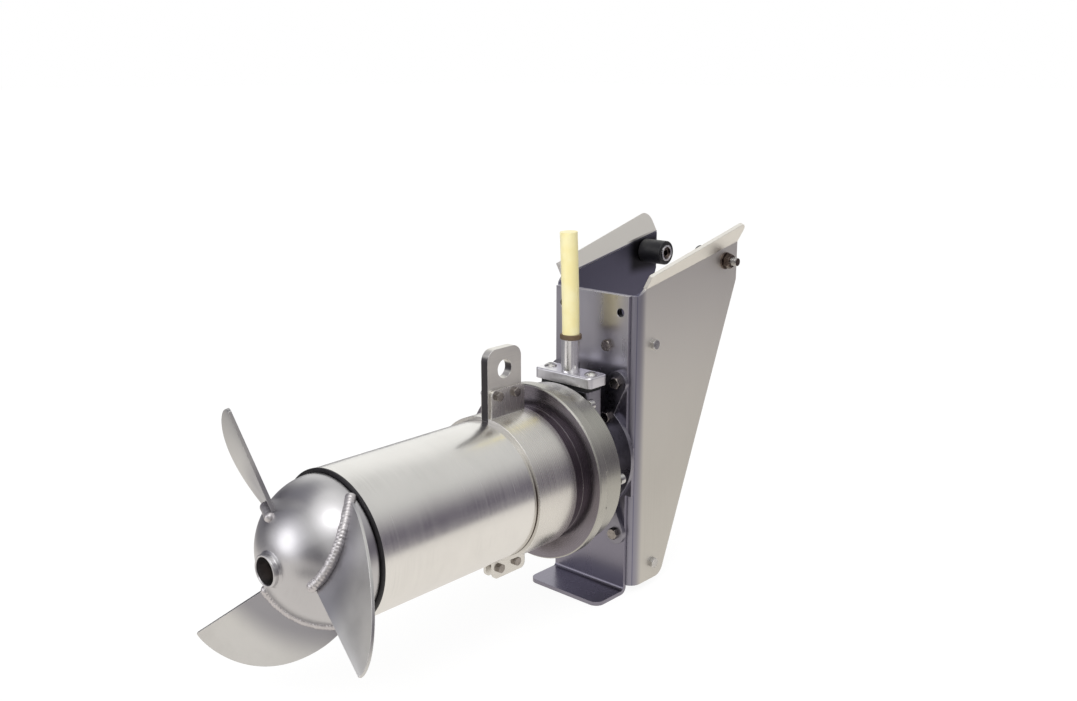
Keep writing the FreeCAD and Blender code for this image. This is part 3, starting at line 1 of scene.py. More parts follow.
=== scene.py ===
"""Submersible mixer: finishes, small details, light and camera.

Metres, in the part's own frame: +Z up, the propeller towards -Y, the origin
where the motor axis crosses the axis of the guide mast.  Stations along the
motor are counted from the front rim of the barrel, in millimetres.
"""
import math
import bpy
import bmesh
from mathutils import Matrix, Vector


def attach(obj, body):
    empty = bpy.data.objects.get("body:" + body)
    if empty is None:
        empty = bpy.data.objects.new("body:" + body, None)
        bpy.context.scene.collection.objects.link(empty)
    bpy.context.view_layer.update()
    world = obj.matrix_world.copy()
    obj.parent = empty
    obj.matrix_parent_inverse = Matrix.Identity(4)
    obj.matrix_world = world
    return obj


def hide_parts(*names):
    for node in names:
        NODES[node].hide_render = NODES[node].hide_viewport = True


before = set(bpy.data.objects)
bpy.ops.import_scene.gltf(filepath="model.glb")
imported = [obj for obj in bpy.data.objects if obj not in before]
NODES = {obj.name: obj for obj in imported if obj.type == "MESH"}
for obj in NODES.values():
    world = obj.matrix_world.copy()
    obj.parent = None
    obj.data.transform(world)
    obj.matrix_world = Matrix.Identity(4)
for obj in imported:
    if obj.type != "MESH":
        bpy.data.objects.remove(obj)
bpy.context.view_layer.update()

RIM = -0.5215
MOTOR = ("Y", 0.0, 0.0)


def metres(x, station, z):
    """A point given in millimetres: across, station along the motor, height."""
    return Vector((x / 1000.0, RIM + station / 1000.0, z / 1000.0))


# Camera

CAMERA_AT = (0.8652, -1.1660, 0.4621)
CAMERA_AIM = (0.09572, -0.3215, 0.18076)
CAMERA_LENS = 38.04
CAMERA_SENSOR = 36.0


def make_camera():
    data = bpy.data.cameras.new("camera")
    data.lens = CAMERA_LENS
    data.sensor_width = CAMERA_SENSOR
    data.sensor_fit = "HORIZONTAL"
    camera = bpy.data.objects.new("camera", data)
    camera.location = CAMERA_AT
    aim = Vector(CAMERA_AIM) - camera.location
    camera.rotation_euler = aim.to_track_quat("-Z", "Y").to_euler()
    bpy.context.scene.collection.objects.link(camera)
    bpy.context.scene.camera = camera


# Node graphs

class Graph:
    """Short calls for the nodes of a material or of the world."""

    def __init__(self, tree):
        self.tree = tree
        tree.nodes.clear()

    def node(self, kind, inputs=None, **fields):
        made = self.tree.nodes.new(kind)
        for field, value in fields.items():
            setattr(made, field, value)
        for socket, value in (inputs or {}).items():
            self.put(made.inputs[socket], value)
        return made

    def put(self, socket, value):
        if isinstance(value, bpy.types.NodeSocket):
            self.tree.links.new(value, socket)
        else:
            socket.default_value = value

    def math(self, operation, a, b=0.0, c=0.0):
        made = self.node("ShaderNodeMath", operation=operation)
        for i, value in enumerate((a, b, c)):
            self.put(made.inputs[i], value)
        return made.outputs[0]

    def dot(self, a, b):
        return self.node("ShaderNodeVectorMath", {0: a, 1: b},
                         operation="DOT_PRODUCT").outputs["Value"]

    def span(self, value, low, high, to_low=0.0, to_high=1.0):
        """Smooth step of a value from one range to another."""
        made = self.node("ShaderNodeMapRange", interpolation_type="SMOOTHSTEP")
        for i, number in enumerate((value, low, high, to_low, to_high)):
            self.put(made.inputs[i], number)
        return made.outputs[0]

    def mix(self, share, a, b):
        """Colour a where the share is 0 and colour b where it is 1."""
        made = self.node("ShaderNodeMix", data_type="RGBA")
        self.put(made.inputs[0], share)
        for socket, value in ((made.inputs[6], a), (made.inputs[7], b)):
            if isinstance(value, tuple) and len(value) == 3:
                value = value + (1.0,)
            self.put(socket, value)
        return made.outputs[2]

    def split(self, vector):
        return self.node("ShaderNodeSeparateXYZ", {"Vector": vector}).outputs

    def here(self):
        """The object's own coordinates in metres."""
        return self.node("ShaderNodeTexCoord").outputs["Object"]

    def place(self, scale):
        """The object's own coordinates, each scaled."""
        return self.node("ShaderNodeMapping", {
            "Vector": self.here(), "Scale": scale}).outputs[0]

    def inside(self, low, high, soft):
        """1 inside a box in the object's own coordinates, 0 outside, with a soft border.

        None leaves that side of the box open.
        """
        parts = self.split(self.here())
        share = 1.0
        for i in range(3):
            if low[i] is not None:
                ramp = self.span(parts[i], low[i] - soft[i], low[i])
                share = self.math("MULTIPLY", share, ramp)
            if high[i] is not None:
                ramp = self.span(parts[i], high[i] + soft[i], high[i])
                share = self.math("MULTIPLY", share, ramp)
        return share

    def noise(self, vector, detail, rough=0.55):
        made = self.node("ShaderNodeTexNoise", {
            "Vector": vector, "Scale": 1.0, "Detail": detail, "Roughness": rough})
        return made.outputs[0]

    def polar(self, about, k_radius, k_along, k_turn):
        """Coordinates round an axis: radius, along and turn, each scaled."""
        axis, a, b = about
        parts = self.split(self.here())
        side = "XYZ".replace(axis, "")
        u = self.math("SUBTRACT", parts[side[0]], a)
        v = self.math("SUBTRACT", parts[side[1]], b)
        square = self.math("ADD", self.math("MULTIPLY", u, u), self.math("MULTIPLY", v, v))
        radius = self.math("SQRT", square)
        turn = self.math("ARCTAN2", v, u)
        return self.node("ShaderNodeCombineXYZ", {
            "X": self.math("MULTIPLY", radius, k_radius),
            "Y": self.math("MULTIPLY", parts[axis], k_along),
            "Z": self.math("MULTIPLY", turn, k_turn)}).outputs[0]


def new_material(name):
    material = bpy.data.materials.new(name)
    material.use_nodes = True
    graph = Graph(material.node_tree)
    shader = graph.node("ShaderNodeBsdfPrincipled")
    graph.node("ShaderNodeOutputMaterial", {"Surface": shader.outputs[0]})
    return material, graph, shader


# Materials

FINE_GRAIN = 900
BUMP_HEIGHT = 0.0004
EDGE_RADIUS = 0.0009
EDGE_WEAR = 0.7
WORN_LIMIT = 0.92
SMOOTHEST = 0.05


def steel(name, colour, rough, grain, depth, swing, shade, anisotropic=0.0,
          lathe=None, patch=18.0, light_and_shade_boxes=(), front=None, hub_shade=None):
    """Bare steel: grain along one direction, soft patches, fine scratches, worn edges and
    painted light and shade.

    grain is the fineness of the marks along each axis, or by radius, length and turn where
    lathe names the axis they were turned about, and depth is how deep they look.  swing is
    how far the roughness varies, shade how dark the patches are and patch how fine.
    anisotropic stretches the highlights round the motor axis.  dull lists boxes (low corner,
    high corner, colour, soft border) of painted light and shade, front is a painted shade on the
    faces that look towards the propeller, and heat is a painted shade round the motor axis
    between two radii, darker near the hub.
    """
    material, graph, shader = new_material(name)
    marks = graph.polar(lathe, *grain) if lathe else graph.place(grain)
    lines = graph.noise(marks, 2.0)
    cloud = graph.noise(graph.place((patch,) * 3), 4.0, 0.6)
    fine = graph.noise(graph.place((FINE_GRAIN,) * 3), 2.0)
    dark = tuple(c * (1.0 - shade) for c in colour)
    pale = tuple(min(1.0, c * (1.0 + 0.5 * shade)) for c in colour)
    base = graph.mix(graph.span(cloud, 0.35, 0.65), dark, colour)
    base = graph.mix(graph.span(lines, 0.3, 0.7, 0.0, 0.5), base, pale)
    # Painted shade: the faces that look towards the propeller get the darker front colour.
    if front:
        facing = graph.split(graph.node("ShaderNodeTexCoord").outputs["Normal"])["Y"]
        base = graph.mix(graph.span(facing, -0.80, -0.97), base, front)
    # Painted shade: darker between two radii round the motor axis, near the hub.
    if hub_shade:
        inner, outer, shade_tint = hub_shade
        radius = graph.split(graph.polar(MOTOR, 1.0, 0.0, 0.0))["X"]
        base = graph.mix(graph.span(radius, outer, inner), base, shade_tint)
    # Painted light and shade: each box mixes its colour into the base, and the worn edges are
    # left off inside the boxes.
    outside_boxes = 1.0
    for low, high, painted_tone, soft in light_and_shade_boxes:
        share = graph.inside(low, high, soft)
        base = graph.mix(share, base, painted_tone)
        outside_boxes = graph.math("MULTIPLY", outside_boxes, graph.math("SUBTRACT", 1.0, share))
    round_normal = graph.node("ShaderNodeBevel", {"Radius": EDGE_RADIUS}, samples=4).outputs[0]
    flat_normal = graph.node("ShaderNodeNewGeometry").outputs["Normal"]
    edge = graph.span(graph.dot(round_normal, flat_normal), 0.995, 0.80)
    edge = graph.math("MULTIPLY", edge, outside_boxes)
    worn = tuple(min(WORN_LIMIT, 1.25 * c + 0.06) for c in colour)
    base = graph.mix(graph.math("MULTIPLY", edge, EDGE_WEAR), base, worn)
    graph.put(shader.inputs["Base Color"], base)
    shader.inputs["Metallic"].default_value = 1.0
    level = graph.math("ADD", graph.span(lines, 0.25, 0.75, rough - swing, rough + swing),
                       graph.span(cloud, 0.3, 0.7, -0.5 * swing, 0.5 * swing))
    graph.put(shader.inputs["Roughness"], graph.math("MAXIMUM", level, SMOOTHEST))
    height = graph.math("ADD", lines, graph.math("MULTIPLY", fine, 0.25))
    bump = graph.node("ShaderNodeBump", {
        "Strength": depth, "Distance": BUMP_HEIGHT, "Height": height,
        "Normal": round_normal})
    graph.put(shader.inputs["Normal"], bump.outputs[0])
    if anisotropic:
        shader.inputs["Anisotropic"].default_value = anisotropic
        tangent = graph.node("ShaderNodeTangent", direction_type="RADIAL", axis=MOTOR[0])
        graph.put(shader.inputs["Tangent"], tangent.outputs[0])
    return material


def plastic(name, colour, rough, pale, grain=260.0, depth=0.08, sheen=0.0, coat=0.0):
    """Rubber, plastic or cable sheath: mottled colour, worn patches and fine grain."""
    material, graph, shader = new_material(name)
    cloud = graph.noise(graph.place((40,) * 3), 4.0, 0.6)
    fine = graph.noise(graph.place((grain,) * 3), 3.0)
    base = graph.mix(graph.span(cloud, 0.35, 0.7), colour, pale)
    graph.put(shader.inputs["Base Color"], base)
    graph.put(shader.inputs["Roughness"], graph.span(fine, 0.3, 0.7, rough - 0.07, rough + 0.07))
    bump = graph.node("ShaderNodeBump", {
        "Strength": depth, "Distance": BUMP_HEIGHT, "Height": fine})
    graph.put(shader.inputs["Normal"], bump.outputs[0])
    shader.inputs["Sheen Weight"].default_value = sheen
    shader.inputs["Coat Weight"].default_value = coat
    shader.inputs["Coat Roughness"].default_value = 0.3
    return material


# Painted light and shade on the steel, as boxes of another colour, each as low corner, high
# corner, colour and soft border.  A border of WIDE belongs to an axis on which the box is open.
OPEN = (None, None, None)
SHARP = (0.0006, 0.0006, 0.0006)
WIDE = 1.0
# Painted light: the upper part of the channel's sheet is lighter.
CHANNEL_TOP_LIGHT = ((None, None, 0.18), OPEN, (0.88, 0.855, 0.80), (WIDE, WIDE, 0.24))
# Painted shade: the sheet is darker along the front of the channel, over its front bend.
CHANNEL_BEND_SHADE = (OPEN, (None, -0.1105, None), (0.33, 0.32, 0.38), (WIDE, 0.013, WIDE))
# Painted shade: the inside faces of the channel are dark.
CHANNEL_INSIDE_SHADE = ((-0.0628, -0.1113, -0.18), (0.0628, 0.10, 0.262), (0.19, 0.185, 0.255), SHARP)
ROLLER_SHADE = ((-0.0640, 0.046, 0.206), (-0.0500, 0.086, 0.236), (0.03, 0.028, 0.035),
                (0.0006, 0.020, 0.016))
# Painted shade: near black in the two fixing holes, where there is only shade.
FIXING_HOLE_SHADE = [((x - 0.0058, -0.1203, 0.1762), (x + 0.0058, -0.1117, 0.1878),
                 (0.012, 0.011, 0.014), (0.0002, 0.0002, 0.0002)) for x in (-0.045, 0.045)]
# Painted shade: the mounting plate is darker towards the bottom.
PLATE_LOW_SHADE = (OPEN, (None, None, 0.05), (0.255, 0.243, 0.295), (WIDE, WIDE, 0.14))
# Painted shade: the groove between the clamp band and the rear flange is dark.
BAND_GROOVE_SHADE = ((None, RIM + 0.2772, None), (None, RIM + 0.2922, None), (0.20, 0.17, 0.19),
               SHARP)
# Painted shadow: a dark line on the barrel along the front edge of the clamp band, on its lower
# part only.
BAND_SEAM_SHADOW = ((None, RIM + 0.2147, None), (None, RIM + 0.2168, 0.010), (0.10, 0.075, 0.06),
             (0.0006, 0.0006, 0.045))


def make_steels():
    return {
        "hub": steel("hub_blasted_steel", (0.56, 0.55, 0.56), 0.31, grain=(500, 300, 2),
                     depth=0.01, swing=0.015, shade=0.04, lathe=MOTOR, patch=26.0),
        # Painted shade on the blades near the hub.
        "blade": steel("blade_ground_steel", (0.64, 0.635, 0.625), 0.36, grain=(25, 25, 25),
                       depth=0.05, swing=0.04, shade=0.07, patch=30.0,
                       hub_shade=(0.078, 0.116, (0.34, 0.335, 0.36))),
        "barrel": steel("barrel_brushed_steel", (0.80, 0.785, 0.76), 0.22, grain=(4, 900, 4),
                        depth=0.04, swing=0.04, shade=0.07, anisotropic=0.5, patch=14.0,
                        light_and_shade_boxes=[BAND_GROOVE_SHADE, BAND_SEAM_SHADOW]),
        "band": steel("band_brushed_steel", (0.72, 0.70, 0.665), 0.27, grain=(4, 700, 4),
                      depth=0.03, swing=0.025, shade=0.06, anisotropic=0.4),
        # Painted shade: the flange's front face is darker.
        "flange": steel("flange_turned_steel", (0.45, 0.44, 0.405), 0.28, grain=(1100, 900, 2),
                        depth=0.03, swing=0.025, shade=0.08, lathe=MOTOR, anisotropic=0.4,
                        light_and_shade_boxes=[BAND_GROOVE_SHADE], front=(0.31, 0.295, 0.335)),
        "cover": steel("cover_turned_steel", (0.42, 0.412, 0.378), 0.28, grain=(900, 900, 2),
                       depth=0.03, swing=0.025, shade=0.08, lathe=MOTOR, anisotropic=0.3),
        "housing": steel("housing_cast_steel", (0.28, 0.27, 0.31), 0.32, grain=(220, 220, 220),
                         depth=0.10, swing=0.05, shade=0.20, patch=40.0),
        "entry": steel("entry_machined_steel", (0.94, 0.93, 0.96), 0.30, grain=(300, 40, 40),
                       depth=0.008, swing=0.012, shade=0.06, patch=40.0),
        "sheet": steel("sheet_rolled_steel", (0.64, 0.62, 0.578), 0.48, grain=(160, 420, 6),
                       depth=0.03, swing=0.025, shade=0.06, patch=9.0,
                       light_and_shade_boxes=[CHANNEL_TOP_LIGHT, CHANNEL_BEND_SHADE, CHANNEL_INSIDE_SHADE, ROLLER_SHADE]
                       + FIXING_HOLE_SHADE),
        "plate": steel("plate_rolled_steel", (0.58, 0.565, 0.61), 0.28, grain=(70, 70, 5),
                       depth=0.010, swing=0.012, shade=0.10, patch=11.0,
                       light_and_shade_boxes=[PLATE_LOW_SHADE] + FIXING_HOLE_SHADE),
        # Painted shade: the lug's faces towards the propeller are near black.
        "lug": steel("lug_ground_steel", (0.83, 0.81, 0.765), 0.42, grain=(18, 18, 420),
                     depth=0.05, swing=0.04, shade=0.07, front=(0.08, 0.075, 0.08)),
        "bolt": steel("bolt_bright_steel", (0.58, 0.57, 0.56), 0.22, grain=(300, 300, 300),
                      depth=0.04, swing=0.06, shade=0.25, patch=90.0),
        # Darker copy of the bolt steel: painted shade on the mounting bolts, which sit in
        # shadow, and a darker tone on the clamp bolts and housing screws.
        "dark_bolt": steel("bolt_darkened_steel", (0.33, 0.30, 0.28), 0.24, grain=(300, 300, 300),
                         depth=0.06, swing=0.07, shade=0.35, patch=160.0),
        "nut": steel("nut_dark_steel", (0.15, 0.115, 0.10), 0.26, grain=(300, 300, 300),
                     depth=0.05, swing=0.07, shade=0.25, patch=90.0),
        "tube": steel("tube_polished_steel", (0.93, 0.925, 0.93), 0.19, grain=(700, 700, 8),
                      depth=0.01, swing=0.02, shade=0.04, patch=40.0),
        "shaft": steel("shaft_ground_steel", (0.64, 0.64, 0.65), 0.25, grain=(900, 900, 3),
                       depth=0.06, swing=0.05, shade=0.10, lathe=MOTOR),
        "iron": steel("core_laminated_iron", (0.34, 0.33, 0.34), 0.42, grain=(2, 2600, 2),
                      depth=0.35, swing=0.08, shade=0.25, patch=50.0),
        "copper": steel("winding_varnished_copper", (0.72, 0.36, 0.19), 0.34,
                        grain=(500, 500, 500), depth=0.30, swing=0.08, shade=0.3, patch=60.0),
        "bearing": steel("bearing_hard_steel", (0.78, 0.78, 0.80), 0.12, grain=(700, 700, 3),
                         depth=0.02, swing=0.03, shade=0.06, lathe=MOTOR),
        "weld": steel("weld_bead_steel", (0.62, 0.595, 0.60), 0.42, grain=(600, 600, 600),
                      depth=0.08, swing=0.04, shade=0.12, patch=160.0),
    }


def make_plastics():
    return {
        "carbide": plastic("seal_lapped_carbide", (0.05, 0.05, 0.055), 0.24,
                           pale=(0.09, 0.09, 0.10), coat=0.3),
        "rubber": plastic("seal_black_rubber", (0.012, 0.012, 0.013), 0.62,
                          pale=(0.025, 0.025, 0.027), sheen=0.05),
        "ring": plastic("ring_black_plastic", (0.008, 0.007, 0.009), 0.50,
                        pale=(0.014, 0.013, 0.016)),
        "roller": plastic("roller_black_plastic", (0.010, 0.010, 0.012), 0.44,
                          pale=(0.022, 0.021, 0.024), grain=420.0),
        "collar": plastic("collar_brown_rubber", (0.10, 0.065, 0.035), 0.50,
                          pale=(0.15, 0.10, 0.06)),
        "cable": plastic("cable_yellow_sheath", (0.93, 0.83, 0.41), 0.55,
                         pale=(0.95, 0.88, 0.52), grain=700.0, depth=0.10, sheen=0.2),
        "terminal": plastic("terminal_pale_plastic", (0.72, 0.70, 0.62), 0.45,
                            pale=(0.78, 0.76, 0.70)),
    }


NODE_FINISH = {
    "hub": ["propeller_hub"],
    "blade": ["blade_1", "blade_2", "blade_3"],
    "barrel": ["motor_barrel"],
    "band": ["clamp_band_left", "clamp_band_right"],
    "flange": ["rear_flange", "bearing_carrier", "front_cover"],
    "cover": ["rear_cover"],
    "housing": ["connection_housing", "mounting_flange"],
    "entry": ["cable_entry_plate"],
    "sheet": ["guide_channel"],
    "plate": ["mounting_plate"],
    "lug": ["lifting_lug"],
    "bolt": ["cover_screws", "mounting_nuts", "entry_plate_screws",
             "tie_spacer", "side_bolts", "side_nuts", "shaft_key"],
    "dark_bolt": ["clamp_bolts", "clamp_nuts", "housing_screws", "mounting_bolts"],
    # The hub screw and washer take this dark steel as painted shade for the bore in the hub's
    # nose.
    "nut": ["hub_screw", "hub_washer", "roller_washers", "roller_nuts", "roller_bolts"],
    "tube": ["gland_tube", "roller_bushes"],
    "shaft": ["motor_shaft"],
    "iron": ["stator_core", "rotor_core"],
    "copper": ["stator_windings", "inner_wiring"],
    "bearing": ["front_bearing_inner_race", "front_bearing_outer_race", "front_bearing_balls",
                "rear_bearing_inner_race", "rear_bearing_outer_race", "rear_bearing_balls"],
    "carbide": ["seal_rotating_face", "seal_fixed_face"],
    "rubber": ["seal_bellows", "shaft_lip_seal", "cover_o_ring", "entry_gasket", "gland_seal"],
    "ring": ["front_ring"],
    "roller": ["top_roller_left", "top_roller_right", "lower_roller"],
    "collar": ["gland_collar"],
    "cable": ["power_cable"],
    "terminal": ["terminal_block"],
}


def paint_nodes(materials):
    for finish, names in NODE_FINISH.items():
        for name in names:
            for slot in NODES[name].material_slots:
                slot.material = materials[finish]


# Pieces added to the solids

def add_mesh(name, mesh, body, material):
    piece = bpy.data.objects.new(name, mesh)
    bpy.context.scene.collection.objects.link(piece)
    mesh.materials.append(material)
    for face in mesh.polygons:
        face.use_smooth = True
    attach(piece, body)
    return piece


def rings_to_mesh(name, rings):
    """Skin over a row of rings with the same number of points, closed at both ends."""
    mesh = bpy.data.meshes.new(name)
    made = bmesh.new()
    rows = [[made.verts.new(point) for point in ring] for ring in rings]
    count = len(rings[0])
    for lower, upper in zip(rows, rows[1:]):
        for i in range(count):
            j = (i + 1) % count
            made.faces.new((lower[i], lower[j], upper[j], upper[i]))
    made.faces.new(list(reversed(rows[0])))
    made.faces.new(rows[-1])
    bmesh.ops.recalc_face_normals(made, faces=made.faces)
    made.to_mesh(mesh)
    made.free()
    return mesh


BLADES = 3
FIRST_BLADE_TURN = 100.9
# Root of a blade at its front, middle and rear: turn in degrees and station
ROOT_TURNS = (7.4, 44.7, 77.0)
ROOT_STATIONS = (-61.92, -39.49, -6.98)
# The hub's dome is half an ellipse
DOME_R = 76.4
DOME_LEN = 72.58
DOME_STATION = -4.0

BEAD_STEPS, BEAD_AROUND = 300, 20
BEAD_FROM, BEAD_SPAN = -0.035, 1.038
BEAD_R = 0.00505
BEAD_LUMP = 0.0004
BEAD_RIPPLE = 0.0034
BEAD_LEAN = 0.0016
BEAD_ROUND_END = 0.005
BEAD_REAR_Y = RIM - 0.0036


def root_point(t):
    """Point of a blade's root on the hub, before the blade is turned to its place."""
    weights = ((1 - t) * (1 - 2 * t), 4 * t * (1 - t), t * (2 * t - 1))
    angle = math.radians(sum(w * turn for w, turn in zip(weights, ROOT_TURNS)))
    station = sum(w * place for w, place in zip(weights, ROOT_STATIONS))
    along = min(1.0, abs(station - DOME_STATION) / DOME_LEN)
    radius = DOME_R * math.sqrt(1.0 - along ** 2)
    return metres(radius * math.cos(angle), station, radius * math.sin(angle))


def weld_bead(name, turn, material):
    """Bead along a blade's root with the ripples that the welder's hand leaves.

    Its front end is round and its rear end is cut off level with the rear face of the hub.
    """
    centre = metres(0.0, DOME_STATION, 0.0)
    rings, run, last = [], 0.0, None
    for i in range(BEAD_STEPS):
        t = BEAD_FROM + BEAD_SPAN * i / (BEAD_STEPS - 1)
        point = root_point(t)
        ahead = (root_point(t + 0.004) - root_point(t - 0.004)).normalized()
        out = (point - centre).normalized()
        side = ahead.cross(out).normalized()
        out = side.cross(ahead).normalized()
        if last is not None:
            run += (point - last).length
        last = point
        ease = math.sqrt(1.0 - max(0.0, 1.0 - run / BEAD_ROUND_END - 0.02) ** 2)
        wave = 0.00018 * math.sin(41.0 * t + turn) + 0.0001 * math.sin(97.0 * t)
        ring = []
        for k in range(BEAD_AROUND):
            a = 2.0 * math.pi * k / BEAD_AROUND
            phase = (run - BEAD_LEAN * math.cos(a) ** 2) / BEAD_RIPPLE
            lump = abs(math.sin(math.pi * phase)) ** 0.7
            reach = (BEAD_R + BEAD_LUMP * lump + wave) * ease
            spot = point + side * (reach * math.sin(a)) + out * (reach * math.cos(a))
            spot.y = min(spot.y, BEAD_REAR_Y)
            ring.append(spot)
        rings.append(ring)
    mesh = rings_to_mesh(name, rings)
    mesh.transform(Matrix.Rotation(math.radians(-turn), 4, "Y"))
    return add_mesh(name, mesh, "propeller", material)


THREAD_AROUND, THREAD_ROWS_PER_TURN = 28, 6
THREAD_LIFT = 0.00012
RIDGE_HEIGHT, RIDGE_PITCH = 0.0005, 0.0015
# Radius and pitch of each bolt size
M6, M8, M10 = (0.003, 0.001), (0.004, 0.00125), (0.005, 0.0015)


def thread(name, base, axis, size, length, material):
    """Thread ridge wound round the free end of a bolt, from base along axis."""
    bolt_r, pitch = size
    axis = Vector(axis)
    side = axis.orthogonal().normalized()
    other = axis.cross(side)
    radius = bolt_r + THREAD_LIFT
    rows = max(4, int(length / pitch * THREAD_ROWS_PER_TURN))
    rings = []
    for i in range(rows + 1):
        along = length * i / rows
        fade = min(1.0, 4.0 * (length - along) / pitch, 4.0 * along / pitch)
        ring = []
        for k in range(THREAD_AROUND):
            a = 2.0 * math.pi * k / THREAD_AROUND
            phase = (along / pitch + k / THREAD_AROUND) % 1.0
            crest = 1.0 - abs(2.0 * phase - 1.0)
            ridge = RIDGE_HEIGHT * pitch / RIDGE_PITCH * (crest - 0.45) * max(fade, 0.0)
            around = side * math.cos(a) + other * math.sin(a)
            ring.append(base + axis * along + around * (radius + ridge))
        rings.append(ring)
    return add_mesh(name, rings_to_mesh(name, rings), "mixer_body", material)


def make_threads(material):
    """Free ends of the top rollers' bolts, the channel's side bolts and the clamp's bolts."""
    for sign, side in ((-1, "left"), (1, "right")):
        base = metres(sign * 77.4, 588.0, 224.5)
        thread("roller_thread_" + side, base, (sign, 0, 0), M10, 0.0082, material)
    for label, station, height in (("upper", 438.3, 140.3), ("lower", 446.0, -146.0)):
        base = metres(-73.0, station, height)
        thread("side_thread_" + label, base, (-1, 0, 0), M8, 0.0038, material)
    for label, x, height in (("upper", 13.5, 108.0), ("lower", 13.0, -99.0)):
        for row, station in (("front", 229.0), ("rear", 256.5)):
            base = metres(-x, station, height)
            name = "clamp_thread_%s_%s" % (label, row)
            thread(name, base, (-1, 0, 0), M6, 0.0028, material)


# Cable

CABLE_Y = RIM + 0.3625
CABLE_D = 0.021


def make_cable(material):
    curve = bpy.data.curves.new("cable_tail", "CURVE")
    curve.dimensions = "3D"
    curve.bevel_depth = CABLE_D / 2
    curve.bevel_resolution = 10
    curve.use_fill_caps = True
    route = [(0, CABLE_Y, 0.150), (0, CABLE_Y, 0.190), (0, CABLE_Y - 0.005, 0.279)]
    line = curve.splines.new("NURBS")
    line.points.add(len(route) - 1)
    for point, place in zip(line.points, route):
        point.co = place + (1.0,)
    line.order_u = 3
    line.use_endpoint_u = True
    line.resolution_u = 24
    cable = bpy.data.objects.new("cable_tail", curve)
    bpy.context.scene.collection.objects.link(cable)
    curve.materials.append(material)
    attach(cable, "mixer_body")
    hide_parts("power_cable")


# Light

def bearing(azimuth, elevation):
    """Direction seen from the object: azimuth from the propeller's side towards +X."""
    a = math.radians(azimuth)
    e = math.radians(elevation)
    return Vector((math.cos(e) * math.sin(a), -math.cos(e) * math.cos(a), math.sin(e)))


WHITE = (1.0, 1.0, 1.0)
WALL_LOW = (0.69, 0.68, 0.67)
WALL_HIGH = (0.72, 0.72, 0.71)
CEILING = (1.20, 1.20, 1.18)
DARK_WALL = (0.15, 0.135, 0.17)
DARK_WALL_AZIMUTH = 110
# Round cards: direction, angles of the full and of the fading part, colour
STUDIO_CARDS = [
    ((-145, 14), 16, 44, (1.05, 1.05, 1.03)),
    ((-72, 40), 12, 40, (0.24, 0.235, 0.27)),
    ((-88, 2), 10, 32, (0.09, 0.085, 0.11)),
    ((107, 48), 7, 20, (0.34, 0.33, 0.37)),
    ((-20, 12), 12, 38, (1.12, 1.12, 1.17)),
    ((24, 0), 11, 31, (0.05, 0.045, 0.065)),
    ((50, 62), 8, 32, (1.65, 1.65, 1.65)),
]


def make_world():
    """Grey walls, a bright ceiling, one dark wall and round cards; white to the camera."""
    world = bpy.data.worlds.new("studio")
    bpy.context.scene.world = world
    world.use_nodes = True
    graph = Graph(world.node_tree)
    spot = graph.node("ShaderNodeTexCoord").outputs["Generated"]
    parts = graph.split(spot)
    height = parts["Z"]
    tone = graph.mix(graph.span(height, 0.10, 0.75), WALL_LOW, WALL_HIGH)
    tone = graph.mix(graph.span(height, 0.82, 0.97), tone, CEILING)
    level = graph.node("ShaderNodeCombineXYZ", {"X": parts["X"], "Y": parts["Y"]}).outputs[0]
    level = graph.node("ShaderNodeVectorMath", {0: level}, operation="NORMALIZE").outputs[0]
    side = graph.dot(level, tuple(bearing(DARK_WALL_AZIMUTH, 0)))
    wall = graph.math("MULTIPLY", graph.span(side, 0.70, 0.91), graph.span(height, 0.72, 0.12))
    tone = graph.mix(wall, tone, DARK_WALL)
    for direction, inner, outer, colour in STUDIO_CARDS:
        near = graph.dot(spot, tuple(bearing(*direction)))
        share = graph.span(near, math.cos(math.radians(outer)), math.cos(math.radians(inner)))
        tone = graph.mix(share, tone, colour)
    seen = graph.node("ShaderNodeLightPath").outputs["Is Camera Ray"]
    back = graph.node("ShaderNodeBackground", {
        "Color": graph.mix(seen, tone, WHITE), "Strength": 1.0})
    graph.node("ShaderNodeOutputWorld", {"Surface": back.outputs[0]})


LAMP_TARGET = Vector((0.0, -0.3, 0.0))
LAMP_DISTANCE = 2.4


def make_lamp(name, direction, size, power, in_gloss=True):
    """Round softbox; in_gloss says whether the steel mirrors it."""
    data = bpy.data.lights.new(name, "AREA")
    data.shape = "DISK"
    data.size = size
    data.energy = power
    lamp = bpy.data.objects.new(name, data)
    aim = bearing(*direction)
    lamp.location = LAMP_TARGET + aim * LAMP_DISTANCE
    lamp.rotation_euler = (-aim).to_track_quat("-Z", "Y").to_euler()
    lamp.visible_glossy = in_gloss
    bpy.context.scene.collection.objects.link(lamp)


FLOOR_Z = -0.178
FLOOR_HALF = 40.0
FLOOR_COLOURS = ((0.80, 0.79, 0.775), (0.82, 0.81, 0.795))
FLOOR_GLOW = 1.08
FLOOR_IN_STEEL = (0.95, 0.91, 0.855)
FLOOR_LEFT_IN_STEEL = (0.17, 0.165, 0.185)
# Dark spots that only the steel sees: centre, radii of the full and of the fading part, colour
FLOOR_SPOTS = [
    ((0.30, -1.27), 0.20, 0.44, (0.07, 0.065, 0.08)),
    ((0.68, -0.78), 0.16, 0.40, (0.12, 0.11, 0.13)),
]
FLOOR_SHARE = 0.85


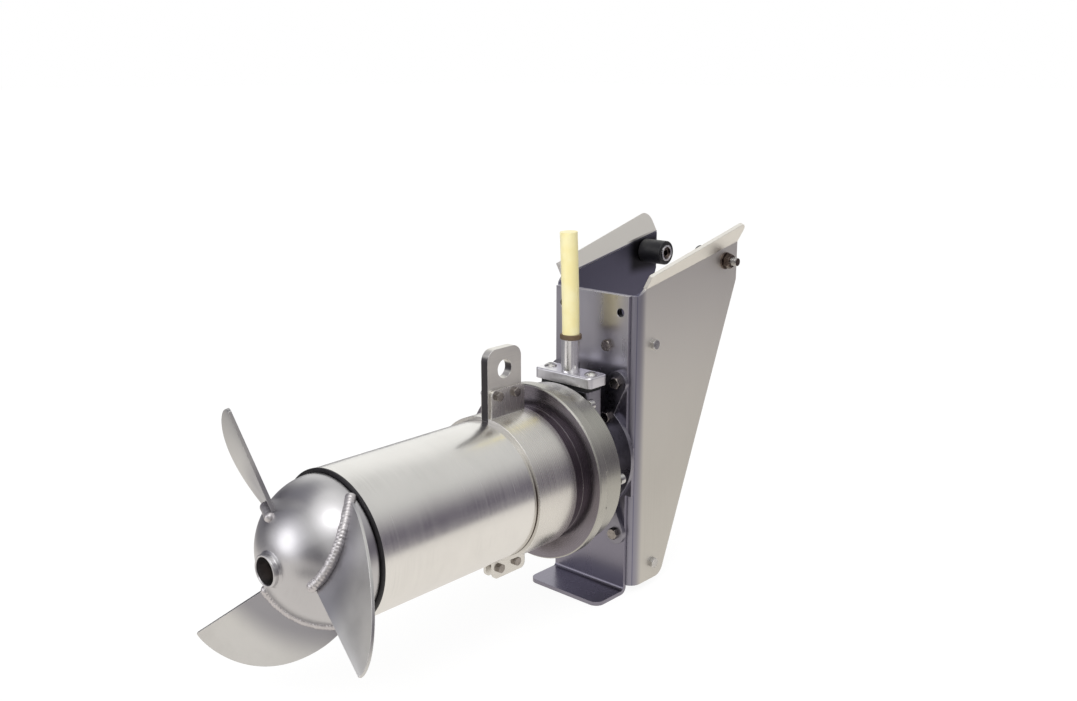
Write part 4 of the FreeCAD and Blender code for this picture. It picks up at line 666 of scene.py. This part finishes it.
def make_floor():
    """White to the camera, pale to scattered light, and beige to dark grey in the steel."""
    mesh = bpy.data.meshes.new("floor")
    corners = [(x * FLOOR_HALF, y * FLOOR_HALF, FLOOR_Z)
               for x, y in ((-1, -1), (1, -1), (1, 1), (-1, 1))]
    mesh.from_pydata(corners, [], [(0, 1, 2, 3)])
    floor = bpy.data.objects.new("floor", mesh)
    bpy.context.scene.collection.objects.link(floor)
    material = bpy.data.materials.new("floor_pale")
    material.use_nodes = True
    graph = Graph(material.node_tree)
    coarse = graph.noise(graph.place((3, 3, 3)), 3.0)
    pale = graph.mix(graph.span(coarse, 0.3, 0.7), *FLOOR_COLOURS)
    matt = graph.node("ShaderNodeBsdfDiffuse", {"Color": pale}).outputs[0]
    white = graph.node("ShaderNodeEmission", {
        "Color": WHITE + (1.0,), "Strength": FLOOR_GLOW}).outputs[0]
    here = graph.here()
    parts = graph.split(here)
    far = graph.math("ADD", graph.math("MULTIPLY", parts["X"], 0.98),
                     graph.math("MULTIPLY", parts["Y"], 0.17))
    seen = FLOOR_IN_STEEL
    for centre, inner, outer, dark in FLOOR_SPOTS:
        away = graph.node("ShaderNodeVectorMath", {0: here, 1: centre + (FLOOR_Z,)},
                          operation="DISTANCE").outputs["Value"]
        seen = graph.mix(graph.span(away, outer, inner), seen, dark)
    seen = graph.mix(graph.span(parts["X"], -0.42, -0.86), seen, FLOOR_LEFT_IN_STEEL)
    seen = graph.mix(graph.span(far, 0.60, 0.95), seen, DARK_WALL)
    steel_view = graph.node("ShaderNodeEmission", {"Color": seen, "Strength": 1.0}).outputs[0]
    rays = graph.node("ShaderNodeLightPath").outputs
    clear = graph.math("MAXIMUM", rays["Is Camera Ray"], rays["Is Transmission Ray"])
    mixed = graph.node("ShaderNodeMixShader", {
        0: graph.math("MULTIPLY", clear, FLOOR_SHARE), 1: matt, 2: white}).outputs[0]
    mixed = graph.node("ShaderNodeMixShader", {
        0: graph.math("MULTIPLY", rays["Is Glossy Ray"], FLOOR_SHARE), 1: mixed,
        2: steel_view})
    graph.node("ShaderNodeOutputMaterial", {"Surface": mixed.outputs[0]})
    mesh.materials.append(material)


def main():
    make_camera()
    materials = {**make_steels(), **make_plastics()}
    make_cable(materials["cable"])
    paint_nodes(materials)
    for i in range(BLADES):
        turn = FIRST_BLADE_TURN - 360.0 / BLADES * i
        weld_bead("blade_weld_%d" % (i + 1), turn, materials["weld"])
    make_threads(materials["bolt"])
    make_world()
    make_floor()
    make_lamp("front_softbox", (-20, 14), size=1.1, power=4)
    make_lamp("top_softbox", (50, 60), size=0.9, power=5)
    make_lamp("fill_softbox", (20, 40), size=1.3, power=16, in_gloss=False)


main()
bpy.context.scene.view_settings.view_transform = "Standard"
